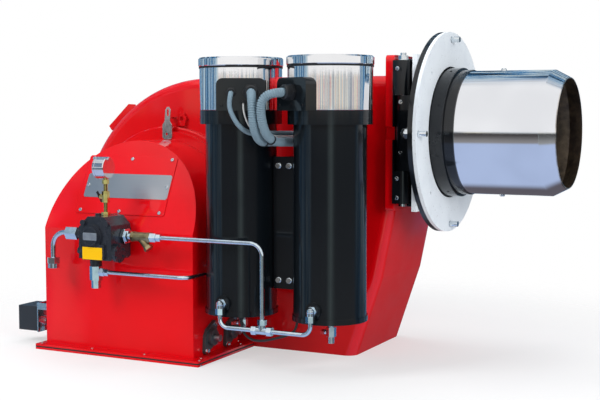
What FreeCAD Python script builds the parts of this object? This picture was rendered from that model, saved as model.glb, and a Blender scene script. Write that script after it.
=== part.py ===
"""Two-stage heavy-oil burner with a swing-out firing head, twin oil preheaters and a damper box.

Millimetres. +X runs along the blast tube towards the flame, +Y points to the motor side, +Z is up.
The origin is the centre of the mounting flange's outer gasket face, on the blast tube's axis.
"""
import FreeCAD, Part
import math
import os
import Sketcher
from types import SimpleNamespace
from FreeCAD import Placement, Rotation, Vector

os.makedirs("parts", exist_ok=True)
doc = FreeCAD.newDocument("OilBurner")

# Driving dimensions: name, millimetres or degrees or a count, and what it is
DRIVING = [
    ("axis_height", 644, "blast tube axis above the floor"),
    ("fit", 0.05, "running clearance of a shaft in its bearing, on the radius"),
    ("gap", 0.3, "clearance between pieces that don't bear on each other"),
    ("tube_od", 350, "blast tube outside diameter"),
    ("tube_wall", 2.5, "blast tube sheet"),
    ("tube_end", 302, "where the tube starts to narrow"),
    ("tube_tip", 343, "tip of the blast tube"),
    ("tube_tip_od", 307, "blast tube mouth outside diameter"),
    ("flange_od", 573, "boiler flange and its gasket"),
    ("flange_gasket_t", 10, "boiler gasket thickness"),
    ("flange_t", 14, "boiler flange thickness"),
    ("collar_od", 368, "collar inside the boiler gasket"),
    ("collar_len", 38, "collar in front of the gasket face"),
    ("band_od", 356, "narrow band in front of the collar"),
    ("band_end", 67, "front edge of the band"),
    ("bolt_edge", 21.5, "boiler flange bolts from its edge"),
    ("flange_bolt_d", 16, "boiler flange bolt"),
    ("flange_bolts", 4, "boiler flange bolts"),
    ("pilot_edge", 53.5, "small holes between the bolts from the flange's edge"),
    ("head_gasket_t", 14, "square gasket thickness"),
    ("frame_t", 53, "hinged frame depth along X"),
    ("square", 430, "side of the square outlet flange and gasket"),
    ("duct", 300, "side of the square air duct through the head"),
    ("outlet_t", 25, "outlet flange thickness"),
    ("housing_w", 356, "scroll housing width along Y"),
    ("housing_wall", 6, "scroll housing wall"),
    ("housing_edge", 30, "rounding of the scroll housing edges"),
    ("housing_top", 160, "top of the scroll housing above the tube axis"),
    ("fan_x", -845, "fan axis along X"),
    ("fan_z", -283, "fan axis height from the tube axis"),
    ("scroll_r", 468, "radius of the scroll's outer sweep"),
    ("scroll_shift", 122.5, "centre of the outer sweep beside the fan axis"),
    ("scroll_drop", 25, "centre of the outer sweep below the fan axis"),
    ("ring_r", 297, "inlet ring outside radius"),
    ("ring_t", 18, "inlet ring thickness"),
    ("inlet_r", 235, "scroll inlet opening radius"),
    ("throat_r", 150, "inlet cone throat radius"),
    ("box_r", 257, "intake box half width and arch radius"),
    ("box_wall", 3, "intake box sheet"),
    ("box_reach", 287, "front of the intake box ahead of the scroll housing"),
    ("lean", 26, "lean of the upper face in degrees"),
    ("base_top", 16, "intake flange stack height above the floor"),
    ("sheet_t", 6, "intake flange and counter frame thickness"),
    ("base_left", 14, "flange overhang on the servo side"),
    ("base_right", 36, "flange overhang on the preheater side"),
    ("base_front", 35, "flange overhang in front"),
    ("pump_near", 45, "pump body left face from the fan axis"),
    ("pump_w", 110, "pump body width"),
    ("pump_stand", 23, "pump body ahead of the intake box"),
    ("pump_depth", 92, "pump body depth"),
    ("pump_up", 51, "pump body above the fan axis"),
    ("pump_down", 70, "pump body below the fan axis"),
    ("pipe_d", 12, "oil pipe outside diameter"),
    ("pipe_wall", 1.5, "oil pipe wall"),
    ("suction_d", 15, "suction pipe outside diameter"),
    ("line_stand", 55, "plane of the oil lines ahead of the intake box"),
    ("tee_drop", 24, "tee below the underside of the preheaters"),
    ("feed_drop", 5, "feed and suction lines below the fan axis"),
    ("return_drop", 112, "return line below the fan axis"),
    ("heater_reach", 222, "preheater axes ahead of the scroll housing"),
    ("heater_gap", 119, "left preheater axis from the side of the intake box"),
    ("heater_pitch", 271, "distance between the preheater axes"),
    ("shell_r", 98.5, "preheater shell radius"),
    ("shell_wall", 4, "preheater shell wall"),
    ("lip_r", 102, "preheater bottom plate radius"),
    ("shell_bottom", -496, "underside of the preheaters"),
    ("band_low", 26, "underside of the preheater top band"),
    ("cover_low", 64, "underside of the polished cover"),
    ("cover_r", 113.5, "polished cover radius"),
    ("lid_r", 116.5, "rolled lid radius"),
    ("lid_low", 182, "underside of the rolled lid"),
    ("lid_top", 206, "top of the rolled lid"),
    ("damper_up", 62, "damper shafts above the floor"),
    ("damper_stand", 55, "rear damper shaft ahead of the intake box's rear wall"),
    ("damper_pitch", 116, "distance between the damper shafts"),
    ("damper_d", 20, "damper shaft diameter"),
    ("blade", 100, "damper blade width"),
    ("pin_in", 23, "hinge pin from the back of the hinged frame"),
    ("pin_reach", 28, "hinge pin ahead of the scroll housing"),
    ("pin_d", 16, "hinge pin diameter"),
    ("knuckle_r", 19, "hinge knuckle radius"),
    ("knuckle_split", 104, "height of the knuckle splits above and below the axis"),
    ("hinge_top", 200, "hinge top"),
    ("hinge_low", -194, "hinge underside"),
    ("plate_r", 265, "motor plate radius"),
    ("plate_t", 10, "motor plate thickness"),
    ("motor_r", 122, "motor frame radius over the fins"),
    ("motor_len", 284, "motor frame length behind its flange"),
    ("motor_flange_r", 150, "motor flange radius"),
    ("shaft_d", 38, "motor shaft end diameter"),
    ("bearing_d", 80, "motor bearing outside diameter"),
    ("bearing_w", 18, "motor bearing width"),
    ("wheel_r", 215, "fan wheel radius"),
    ("wheel_w", 200, "fan wheel width"),
    ("blades", 24, "fan wheel blades"),
    ("gauge_d", 63, "pressure gauge case diameter"),
    ("gauge_t", 36, "pressure gauge case depth"),
    ("gauge_up", 185, "pressure gauge axis above the fan axis"),
    ("gauge_shift", 5, "gauge stem from the fan axis"),
]


class Size(float):
    """A dimension that keeps the document's expression for it beside its value."""

    def __new__(cls, value, text):
        made = super().__new__(cls, value)
        made.text = text
        return made

    def joined(self, other, sign, value, turned=False):
        first, second = (words(other), self.text) if turned else (self.text, words(other))
        return Size(value, "(%s %s %s)" % (first, sign, second))

    def __add__(self, other):
        return self.joined(other, "+", float(self) + float(other))

    def __radd__(self, other):
        return self.joined(other, "+", float(other) + float(self), True)

    def __sub__(self, other):
        return self.joined(other, "-", float(self) - float(other))

    def __rsub__(self, other):
        return self.joined(other, "-", float(other) - float(self), True)

    def __mul__(self, other):
        return self.joined(other, "*", float(self) * float(other))

    def __rmul__(self, other):
        return self.joined(other, "*", float(other) * float(self), True)

    def __truediv__(self, other):
        return self.joined(other, "/", float(self) / float(other))

    def __neg__(self):
        return Size(-float(self), "(0 - %s)" % self.text)


def words(value):
    """The expression text of a size or of a plain number."""
    return value.text if isinstance(value, Size) else "(%.6f)" % value


def fill_sheet():
    """Write the driving dimensions into the sheet and hand them back by name."""
    sheet = doc.addObject("Spreadsheet::Sheet", "Sizes")
    found = {}
    for row, (name, value, note) in enumerate(DRIVING, start=1):
        sheet.set("A%d" % row, str(value))
        sheet.setAlias("A%d" % row, name)
        sheet.set("B%d" % row, note)
    doc.recompute()
    for name, value, note in DRIVING:
        found[name] = Size(sheet.get(name), "Sizes." + name)
    return SimpleNamespace(**found)


D = fill_sheet()
PARTS = []

# How a piece's own X axis is turned onto a row axis
TURNS = {
    "X": Rotation(),
    "-X": Rotation(Vector(0, 0, 1), 180),
    "Y": Rotation(Vector(0, 0, 1), 90),
    "-Y": Rotation(Vector(0, 0, 1), -90),
    "Z": Rotation(Vector(0, 1, 0), -90),
    "-Z": Rotation(Vector(0, 1, 0), 90),
}
UNIT = {
    "X": Vector(1, 0, 0),
    "-X": Vector(-1, 0, 0),
    "Y": Vector(0, 1, 0),
    "-Y": Vector(0, -1, 0),
    "Z": Vector(0, 0, 1),
    "-Z": Vector(0, 0, -1),
}


def bind(item, **values):
    """Set properties, tying each one that is a size to the sheet."""
    for name, value in values.items():
        setattr(item, name, float(value))
        if isinstance(value, Size):
            item.setExpression(name, value.text)


def place(item, at, turn=Rotation()):
    """Put an object at a point whose coordinates may be sizes."""
    item.Placement = Placement(Vector(*[float(c) for c in at]), turn)
    for letter, coordinate in zip("xyz", at):
        if isinstance(coordinate, Size):
            item.setExpression("Placement.Base." + letter, coordinate.text)


def node(label, item):
    """Name a finished sub-part, which then gets its own file."""
    item.Label = label
    PARTS.append(item)
    return item


def feature(label, shape):
    """A sub-part whose shape is worked out with Part's own functions."""
    item = doc.addObject("Part::Feature", label)
    item.Shape = shape
    item.Placement = shape.Placement
    return node(label, item)


def block(name, low, high):
    """A box between two corners."""
    item = doc.addObject("Part::Box", name)
    bind(item, Length=high[0] - low[0], Width=high[1] - low[1], Height=high[2] - low[2])
    place(item, low)
    return item


def drum(name, radius, length, at, axis):
    """A cylinder from a point along an axis."""
    item = doc.addObject("Part::Cylinder", name)
    bind(item, Radius=radius, Height=length)
    place(item, at, TURNS[axis].multiply(Rotation(Vector(0, 1, 0), 90)))
    return item


def joined(name, *items):
    """Several solids made one."""
    item = doc.addObject("Part::MultiFuse", name)
    item.Shapes = list(items)
    return item


def less(name, base, *tools):
    """A solid with others taken out of it."""
    item = doc.addObject("Part::Cut", name)
    item.Base = base
    item.Tool = tools[0] if len(tools) == 1 else joined(name + "_tools", *tools)
    return item


def draw(sketch, points):
    """A closed outline of straight lines with every corner fixed from the origin."""
    first = sketch.GeometryCount
    count = len(points)
    for i, (a, b) in enumerate(zip(points, points[1:] + points[:1])):
        sketch.addGeometry(Part.LineSegment(Vector(a[0], a[1], 0), Vector(b[0], b[1], 0)), False)
    for i in range(count):
        after = first + (i + 1) % count
        sketch.addConstraint(Sketcher.Constraint("Coincident", first + i, 2, after, 1))
    for i, point in enumerate(points):
        for kind, axis_line, value in zip(("DistanceX", "DistanceY"), (-2, -1), point):
            if abs(value) < 1e-9:
                sketch.addConstraint(Sketcher.Constraint("PointOnObject", first + i, 1, axis_line))
                continue
            number = sketch.addConstraint(Sketcher.Constraint(kind, -1, 1, first + i, 1, float(value)))
            if isinstance(value, Size):
                sketch.setExpression("Constraints[%d]" % number, value.text)


def sketch_on(body, role, name):
    """A new sketch on one of the body's own origin planes."""
    plane = [f for f in body.Origin.OriginFeatures if f.Role == role][0]
    sketch = body.newObject("Sketcher::SketchObject", name)
    sketch.AttachmentSupport = [(plane, "")]
    sketch.MapMode = "FlatFace"
    return sketch


def turned(label, profile, at, axis):
    """A turned piece: the profile's points are (distance along the axis, radius)."""
    body = doc.addObject("PartDesign::Body", label)
    sketch = sketch_on(body, "XZ_Plane", label + "_profile")
    draw(sketch, profile)
    turn = body.newObject("PartDesign::Revolution", label + "_turn")
    turn.Profile = sketch
    turn.ReferenceAxis = (sketch, ["H_Axis"])
    turn.Angle = 360
    sketch.Visibility = False
    place(body, at, TURNS[axis])
    return body


def padded(label, outlines, thickness, at, turn):
    """A plate cut to outlines, the first one outside and the rest holes, drawn in its own XY plane."""
    body = doc.addObject("PartDesign::Body", label)
    sketch = sketch_on(body, "XY_Plane", label + "_outline")
    for points in outlines:
        draw(sketch, points)
    pad = body.newObject("PartDesign::Pad", label + "_pad")
    pad.Profile = sketch
    bind(pad, Length=thickness)
    place(body, at, turn)
    return body


def rectangle(x0, x1, y0, y1):
    return [(x0, y0), (x1, y0), (x1, y1), (x0, y1)]


def clipped(x0, x1, y0, y1, c):
    """A rectangle with its corners cut off."""
    return [(x0 + c, y0), (x1 - c, y0), (x1, y0 + c), (x1, y1 - c),
            (x1 - c, y1), (x0 + c, y1), (x0, y1 - c), (x0, y0 + c)]


# Plain shapes for pieces that are worked out with Part's own functions
def slab(low, high):
    return Part.makeBox(high[0] - low[0], high[1] - low[1], high[2] - low[2], Vector(*low))


def rod(radius, length, at, axis):
    return Part.makeCylinder(radius, length, Vector(*at), UNIT[axis])


def hexagon(flats, length, at, axis, turn=0):
    """A hexagonal bar, flats across, from a point along an axis."""
    corner = flats / math.sqrt(3)
    angles = [math.radians(turn + 60 * i) for i in range(7)]
    wire = Part.makePolygon([Vector(0, corner * math.cos(a), corner * math.sin(a)) for a in angles])
    bar = Part.Face(wire).extrude(Vector(length, 0, 0))
    bar.Placement = Placement(Vector(*at), TURNS[axis])
    return bar


def around(shape, count, centre, axis, start=0):
    """Copies of a shape turned about an axis."""
    copies = []
    for i in range(int(count)):
        copy = shape.copy()
        copy.rotate(Vector(*centre), UNIT[axis], start + 360 * i / int(count))
        copies.append(copy)
    return copies


def screw(flats, head, shank_r, shank, at, axis):
    """A hexagon screw: the axis points out of the head, and the shank goes the other way."""
    back = {"X": "-X", "-X": "X", "Y": "-Y", "-Y": "Y", "Z": "-Z", "-Z": "Z"}[axis]
    washer = rod(flats * 0.62, head * 0.25, at, axis)
    top = hexagon(flats, head, Vector(*at) + UNIT[axis] * (head * 0.25), axis)
    return washer.multiFuse([top, rod(shank_r, shank, at, back)]).removeSplitter()


def route(points, radius=None):
    """Straight runs joined by tangent arcs, with one radius or as large as the runs allow."""
    points = [Vector(*p) for p in points]
    edges, radii, start = [], [], points[0]
    for before, corner, after in zip(points, points[1:], points[2:]):
        a, b = corner - before, after - corner
        half = a.getAngle(b) / 2
        bend = radius or 0.45 * min(a.Length, b.Length) / math.tan(half)
        cut = bend * math.tan(half)
        enter = corner - a.normalize() * cut
        leave = corner + b.normalize() * cut
        middle = corner + ((enter + leave) * 0.5 - corner).normalize() * (bend / math.cos(half) - bend)
        if (enter - start).Length > 1e-6:
            edges.append(Part.LineSegment(start, enter).toShape())
        edges.append(Part.Arc(enter, middle, leave).toShape())
        radii.append(bend)
        start = leave
    edges.append(Part.LineSegment(start, points[-1]).toShape())
    return Part.Wire(edges), radii


def along(path, radius):
    """A round bar swept along a wire."""
    first = path.OrderedEdges[0]
    start = first.valueAt(first.FirstParameter)
    circle = Part.makeCircle(radius, start, first.tangentAt(first.FirstParameter))
    return path.makePipeShell([Part.Wire([circle])], True, False)


def pipe(points, diameter, bend):
    """A bent steel oil pipe."""
    path = route(points, bend)[0]
    return along(path, diameter / 2).cut(along(path, diameter / 2 - D.pipe_wall))


def cord(label, points, diameter):
    """A cable or conduit along its real route, with its bends as large as the runs allow."""
    path, radii = route(points)
    body = along(path, diameter / 2)
    expected = math.pi * diameter ** 2 / 4 * path.Length
    print("%s length %.0f radii %s volume ratio %.4f" % (
        label, path.Length, [round(r) for r in radii], body.Volume / expected))
    return feature(label, body)


floor_z = -D.axis_height
fan = (D.fan_x, 0, D.fan_z)
front_y = -D.housing_w / 2
back_y = D.housing_w / 2
disc_x = -D.flange_gasket_t - D.flange_t
gasket_x = disc_x - D.head_gasket_t
frame_x = gasket_x - D.frame_t
outlet_x = frame_x - D.gap
bolt_circle = D.flange_od - 2 * D.bolt_edge
pilot_circle = D.flange_od - 2 * D.pilot_edge
box_left = D.fan_x - D.box_r
box_right = D.fan_x + D.box_r
box_front = front_y - D.box_reach
box_rear = front_y - D.ring_t - 17
pump_left = D.fan_x - D.pump_near
pump_right = pump_left + D.pump_w
pump_front = box_front - D.pump_stand - D.pump_depth
pump_back = box_front - D.pump_stand
line_y = box_front - D.line_stand
line_z = D.shell_bottom - D.tee_drop
feed_z = D.fan_z - D.feed_drop
return_z = D.fan_z - D.return_drop
heater_y = front_y - D.heater_reach
left_x = box_right + D.heater_gap
right_x = left_x + D.heater_pitch
between_x = (left_x + right_x) / 2
tee_x = between_x - 6.5
damper_z = floor_z + D.damper_up
damper_back = box_rear - D.damper_stand
damper_front = damper_back - D.damper_pitch
pin_x = frame_x + D.pin_in
pin_y = front_y - D.pin_reach
gauge_x = D.fan_x + D.gauge_shift
gauge_z = D.fan_z + D.gauge_up


# Scroll housing: welded sheet with an inner scroll sheet, the outlet flange, an ear and a rim plate
def polar(radius, angle, y=0.0):
    """A point at an angle round the fan axis, seen from the pump side."""
    a = math.radians(angle)
    return Vector(D.fan_x + radius * math.cos(a), y, D.fan_z + radius * math.sin(a))


def line(a, b):
    return Part.LineSegment(Vector(*a), Vector(*b)).toShape()


def arc(a, b, c):
    return Part.Arc(Vector(*a), Vector(*b), Vector(*c)).toShape()


def sheet_face(edges):
    return Part.Face(Part.Wire(edges))


def prism(points, push):
    """A flat outline pushed along a direction."""
    points = [Vector(*p) for p in points]
    return Part.Face(Part.makePolygon(points + points[:1])).extrude(Vector(*push))


def sweep(angle):
    """A point of the scroll's outer sweep, which touches the flat top of the housing."""
    a = math.radians(angle)
    return Vector(D.fan_x + D.scroll_shift + D.scroll_r * math.cos(a), 0,
                  D.fan_z - D.scroll_drop + D.scroll_r * math.sin(a))


def scroll_outline():
    """The side outline of the housing, standing in the plane of the fan."""
    top_right = Vector(outlet_x - D.outlet_t / 2, 0, D.housing_top)
    top_left, shoulder, wrap_start = sweep(90), sweep(128), sweep(165)
    wrap_end = polar(scroll_end, 215)
    slide = math.tan(math.radians(35)) * (wrap_end.z - floor_z)
    foot = Vector(wrap_end.x + slide, 0, floor_z)
    toe = Vector(top_right.x - 121.2, 0, floor_z)
    knee = Vector(top_right.x - 44.2, 0, floor_z + 228)
    hip = Vector(top_right.x, 0, -D.square / 2 + 19)
    return sheet_face([
        line(top_right, top_left), arc(top_left, shoulder, wrap_start),
        arc(wrap_start, polar(scroll_end + 11, 190), wrap_end), line(wrap_end, foot), line(foot, toe),
        line(toe, knee), line(knee, hip), line(hip, top_right)])


def under_scroll():
    """Everything below the inner scroll sheet and the duct floor."""
    start = polar(scroll_end - D.housing_wall, 215)
    tongue = polar(D.wheel_r + 23, 8)
    duct_floor = -D.duct / 2 - D.housing_wall
    far, deep = Vector(start.x - 160, 0, start.z - 112), floor_z - 60
    return sheet_face([
        arc(start, polar(D.wheel_r + 65, 275), tongue),
        line(tongue, (outlet_x - D.outlet_t, 0, duct_floor)),
        line((outlet_x - D.outlet_t, 0, duct_floor), (0, 0, duct_floor)),
        line((0, 0, duct_floor), (0, 0, deep)), line((0, 0, deep), (far.x, 0, deep)),
        line((far.x, 0, deep), far), line(far, start)])


def softened(solid, inset):
    """The housing or its room with the long edges along the outline rounded."""
    soft = [e for e in solid.Edges
            if abs(abs(e.CenterOfMass.y) - back_y + inset) < 1 and e.CenterOfMass.z > floor_z + inset + 5
            and e.CenterOfMass.x < outlet_x - D.outlet_t / 2 - inset - 1]
    return solid.makeFillet(float(D.housing_edge - inset), soft)


def build_housing():
    outline = scroll_outline()
    side = Vector(0, D.housing_w, 0)
    outside = outline.extrude(side)
    outside.translate(Vector(0, front_y, 0))
    outside = softened(outside, 0)
    depth = Vector(0, D.housing_w - 2 * D.housing_wall, 0)
    room = outline.makeOffset2D(-float(D.housing_wall)).extrude(depth)
    room.translate(Vector(0, front_y + D.housing_wall, 0))
    room = softened(room, D.housing_wall)
    under = under_scroll()
    cavities = []
    for face in (under, under.makeOffset2D(-float(D.housing_wall))):
        cavity = face.extrude(side)
        cavity.translate(Vector(0, front_y, 0))
        cavities.append(cavity)
    hollow = room.cut(cavities[0])
    below = room.common(cavities[1])
    way_out = slab((D.fan_x - 85, front_y + 30, floor_z - 5),
                   (outlet_x - 168.7, back_y - 30, floor_z + 12))
    flange = slab((outlet_x - D.outlet_t, -D.square / 2, -D.square / 2),
                  (outlet_x, D.square / 2, D.square / 2))
    corners = [e for e in flange.Edges if abs(e.tangentAt(e.FirstParameter).x) > 0.9]
    flange = flange.makeFillet(12.0, corners)
    ear = prism([(D.fan_x + x, front_y - ear_t, D.fan_z + z) for x, z in ear_outline], (0, ear_t, 0))
    ear = ear.cut(rod(6, 3 * ear_t, (D.fan_x + 49, front_y - 2 * ear_t, D.fan_z + 321), "Y"))
    rim = prism([(D.fan_x + x, front_y + 38, D.fan_z + z) for x, z in rim_outline], (0, 8, 0))
    relief = slab((outlet_x - D.outlet_t - 1, pin_y - D.knuckle_r - 5, -relief_half),
                  (outlet_x + 1, leaf_relief_y, relief_half))
    housing = outside.multiFuse([flange.cut(relief), ear, rim])
    half = D.duct / 2
    mouth = slab((outlet_x - 60, -half, -half), (outlet_x + 5, half, half))
    eye = rod(D.inlet_r, D.housing_w + 20, polar(0, 0, front_y - 10), "Y")
    tools = [hollow, below, way_out, mouth, eye]
    tools += around(rod(5.5, 40, polar(plate_bolt_r, 0, back_y - 20), "Y"), plate_bolts,
                    polar(0, 0), "Y", 22.5)
    return housing.cut(tools).removeSplitter()


plate_bolt_r = 251
plate_bolts = 8
scroll_end = D.wheel_r + 110
ear_t = 10
ear_outline = [(31, 298), (59, 298), (65, 323), (55, 337), (39, 337)]
rim_outline = [(-245, 282), (-256, 296), (-180, 366), (-159, 365), (-150, 350)]
relief_half = 18
leaf_relief_y = pin_y - 1.5
feature("scroll_housing", build_housing())

# Motor plate: closes the hole at the back through which the fan wheel goes in
motor_bolt_r = 132.5
spigot_r = 115
plate_body = turned("motor_plate_body", [
    (0, spigot_r + D.fit), (D.plate_t, spigot_r + D.fit), (D.plate_t, D.plate_r), (0, D.plate_r)],
    (D.fan_x, D.housing_w / 2, D.fan_z), "Y")
plate_holes = [drum("motor_plate_hole_%d" % i, 7, 30, tuple(polar(motor_bolt_r, 45 + 90 * i, back_y - 8)), "Y")
               for i in range(4)]
for i in range(plate_bolts):
    edge_at = tuple(polar(plate_bolt_r, 22.5 + 45 * i, back_y - 8))
    plate_holes.append(drum("motor_plate_edge_%d" % i, 5.5, 30, edge_at, "Y"))
node("motor_plate", less("motor_plate_cut", plate_body, *plate_holes))

# Inlet ring: turned steel ring with a spun cone that leads the air into the wheel
rim_in = 262
cone_end = 116
node("inlet_ring", turned("inlet_ring_body", [
    (0, rim_in), (0, D.ring_r - 4), (4, D.ring_r), (D.ring_t, D.ring_r), (D.ring_t, 182),
    (40, 164), (cone_end, D.throat_r + 3), (cone_end, D.throat_r), (38, 160), (12, 180),
    (12, rim_in)], (D.fan_x, -D.housing_w / 2 - D.ring_t, D.fan_z), "Y"))

# Intake box: folded and welded sheet, arched on top, leaning back above the fan axis
flange_top = -D.axis_height + D.base_top
collar_r = D.box_r + 27
eye_r = 240
lean = math.radians(D.lean)
base_low = (box_left - D.base_left, box_front - D.base_front)
base_high = (box_right + D.base_right, -D.housing_w / 2 - 2)
shafts = [(damper_front, damper_z), (damper_back, damper_z)]
ledge_gap = 1.5
bearing_bolt = (25, 36)


def arch(inset, rear, low):
    """A block with the outline of the intake box, drawn in from its outside."""
    radius = D.box_r - inset
    front = box_front + inset
    block_ = rod(radius, rear - front, (D.fan_x, front, D.fan_z), "Y").fuse(
        slab((D.fan_x - radius, front, low), (D.fan_x + radius, rear, D.fan_z)))
    ledge = box_front + inset / math.cos(lean)
    low_y = ledge - 20 * math.tan(lean)
    high_y = ledge + 300 * math.tan(lean)
    start = D.fan_x - D.box_r - 50
    away = prism([(start, low_y, D.fan_z - 20), (start, high_y, D.fan_z + 300),
                  (start, box_front - 20, D.fan_z + 300), (start, box_front - 20, D.fan_z - 20)],
                 (2 * D.box_r + 100, 0, 0))
    return block_.cut(away)


def on_face(along_x, up, out=0.0):
    """A point of the leaning face: along X, up the slope from its fold and out from the sheet."""
    return Vector(along_x, box_front + up * math.sin(lean) - out * math.cos(lean),
                  D.fan_z + up * math.cos(lean) + out * math.sin(lean))


FACE_TURN = Rotation(Vector(1, 0, 0), 90 - float(D.lean))
FACE_OUT = Vector(0, -math.cos(lean), math.sin(lean))
panel = SimpleNamespace(left=D.fan_x - 161, right=D.fan_x + 148, low=50, high=235, t=2, inset=17)
plate = SimpleNamespace(left=D.fan_x - 147, right=D.fan_x + 145, low=101, high=177, t=1, inset=9)
panel_ends = (panel.left + panel.inset, panel.right - panel.inset)
panel_screws = [(x, up) for up in (panel.low + 10, panel.high - 10)
                for x in (panel_ends[0], (panel.left + panel.right) / 2, panel_ends[1])]
plate_ends = (plate.left + plate.inset, plate.right - plate.inset)
plate_screws = [(x, (plate.low + plate.high) / 2) for x in plate_ends]


def face_holes(places, radius):
    return [Part.makeCylinder(radius, 40, on_face(x, up, -20), FACE_OUT) for x, up in places]


def bearing_bolts(y, z):
    """The two bolt places of a flange bearing, which is fixed slantwise."""
    across, up = bearing_bolt
    return [(y - across, z - up), (y + across, z + up)]


def build_box():
    body = arch(0, box_rear, flange_top - D.sheet_t)
    collar = rod(collar_r, front_y - D.ring_t - box_rear, polar(0, 0, box_rear), "Y")
    flange = slab((*base_low, flange_top - D.sheet_t), (*base_high, flange_top))
    body = body.multiFuse([collar, flange])
    wall = D.box_wall
    eye = rod(eye_r, 60, polar(0, 0, box_rear - 20), "Y")
    tools = [arch(wall, box_rear - wall, floor_z - 20), eye, rod(25, 40, polar(0, 0, box_front - 10), "Y")]
    start, through = box_left - 50, 2 * D.box_r + 100
    for y, z in shafts:
        tools.append(rod(D.damper_d / 2 + 2, through, (start, y, z), "X"))
        tools += [rod(4.5, through, (start, *spot_), "X") for spot_ in bearing_bolts(y, z)]
    tools += face_holes(panel_screws + plate_screws, 2.7)
    tools += [rod(4.5, 30, (x, y, flange_top - 20), "Z") for x, y in base_bolts]
    body = body.cut(tools)
    left, right = box_left + wall, box_right - wall
    half = D.blade / 2
    bars = [slab((left, box_front + wall, damper_z - 6), (right, shafts[0][0] - half, damper_z + 6)),
            slab((left, shafts[0][0] + half, damper_z - 6), (right, shafts[1][0] - half, damper_z + 6))]
    return body.multiFuse(bars).removeSplitter()


base_head_r = 7
base_x = [box_left - 3 + i * (2 * D.box_r + 33) / 3 for i in range(4)]
base_bolts = [(x, box_front - D.base_front / 2) for x in base_x]
base_bolts += [(x, box_rear + 17) for x in (box_left + 10, box_right - 10)]
base_bolts += [(base_high[0] - D.base_right / 2, y) for y in (box_front + 10, box_rear - 17)]
feature("intake_box", build_box())

# Gasket and counter frame under the intake box
opening = (box_left + D.box_wall, box_right - D.box_wall, box_front + D.box_wall, box_rear - D.box_wall)
for label, low, thick in (("base_gasket", -D.axis_height + D.sheet_t, D.base_top - 2 * D.sheet_t),
                          ("base_frame", -D.axis_height, D.sheet_t)):
    ring = padded(label + "_body", [rectangle(base_low[0], base_high[0], base_low[1], base_high[1]),
                                    rectangle(*opening)], thick, (0, 0, low), Rotation())
    holes = [drum("%s_hole_%d" % (label, i), 4.5, 30, (x, y, flange_top - 25), "Z")
             for i, (x, y) in enumerate(base_bolts)]
    if label == "base_frame":
        holes += [drum("%s_recess_%d" % (label, i), base_head_r + D.gap, 4, (x, y, low), "Z")
                  for i, (x, y) in enumerate(base_bolts)]
    node(label, less(label + "_cut", ring, *holes))

# Access panel and nameplate on the leaning face, both folded or punched sheet
for label, shape, low, holes in (("access_panel", panel, 0, panel_screws + plate_screws),
                                 ("nameplate", plate, panel.t, plate_screws)):
    width, height = shape.right - shape.left, shape.high - shape.low
    body = padded(label + "_body", [clipped(0, width, 0, height, 5)], shape.t,
                  tuple(on_face(shape.left, shape.low, low)), FACE_TURN)
    tools = []
    for i, (x, up) in enumerate(holes):
        tool = doc.addObject("Part::Cylinder", "%s_hole_%d" % (label, i))
        bind(tool, Radius=2.7, Height=20)
        place(tool, tuple(on_face(x, up, -10)), FACE_TURN)
        tools.append(tool)
    node(label, less(label + "_cut", body, *tools))

# Preheaters: welded steel shells hung between the housing and the intake box
heaters = {"left": left_x, "right": right_x}
cover_turn = {"left": -60.6, "right": -118.6}
cover_box = SimpleNamespace(half=66, out=126, low=62, high=148, wall=2.5, round=18)
lug_y = (heater_y + 5, heater_y + 13)
lug_z = ((-107, -67), (-420, -380))
bracket_x = {"left": between_x - 18.5, "right": between_x + 13.5}
elbow_z = D.shell_bottom + 38
boss_len = 8
return_y = front_y - 62


def cover_spot(side, across, out, z):
    """A point measured from a terminal cover's front face."""
    a = math.radians(cover_turn[side])
    reach = cover_box.out + out
    return Vector(heaters[side] + reach * math.cos(a) - across * math.sin(a),
                  heater_y + reach * math.sin(a) + across * math.cos(a), z)


def build_shell(side):
    x = heaters[side]
    inner = D.shell_r - D.shell_wall
    low = D.shell_bottom
    body = rod(D.shell_r, D.band_low - low, (x, heater_y, low), "Z")
    band = rod(D.cover_r, 19, (x, heater_y, D.band_low), "Z")
    plate_ = rod(D.lip_r, 14, (x, heater_y, low), "Z")
    front = rod(22, 40, (x, heater_y - D.shell_r - boss_len, elbow_z), "Y")
    back = rod(16, 40, (x, heater_y + D.shell_r + 8, return_z), "-Y")
    lugs = []
    for z0, z1 in lug_z:
        if side == "left":
            lugs.append(slab((x + inner + 2, lug_y[0], z0), (between_x - 6.5, lug_y[1], z1)))
        else:
            lugs.append(slab((between_x + 1.5, lug_y[0], z0), (x - inner - 2, lug_y[1], z1)))
    body = body.multiFuse([band, plate_, front, back] + lugs)
    tools = [rod(inner, 19 + D.band_low - low, (x, heater_y, low + 14), "Z"),
             rod(6.5, 60, (x, heater_y - D.shell_r - boss_len - 5, elbow_z), "Y"),
             rod(6.5, 60, (x, heater_y + D.shell_r + 15, return_z), "-Y"),
             rod(6.5, 30, (x, heater_y, low - 5), "Z")]
    tools += [rod(4.5, 30, (bracket_x[side], lug_y[0] - 10, (z0 + z1) / 2), "Y") for z0, z1 in lug_z]
    return body.cut(tools).removeSplitter()


for side in heaters:
    feature("preheater_shell_" + side, build_shell(side))

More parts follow.
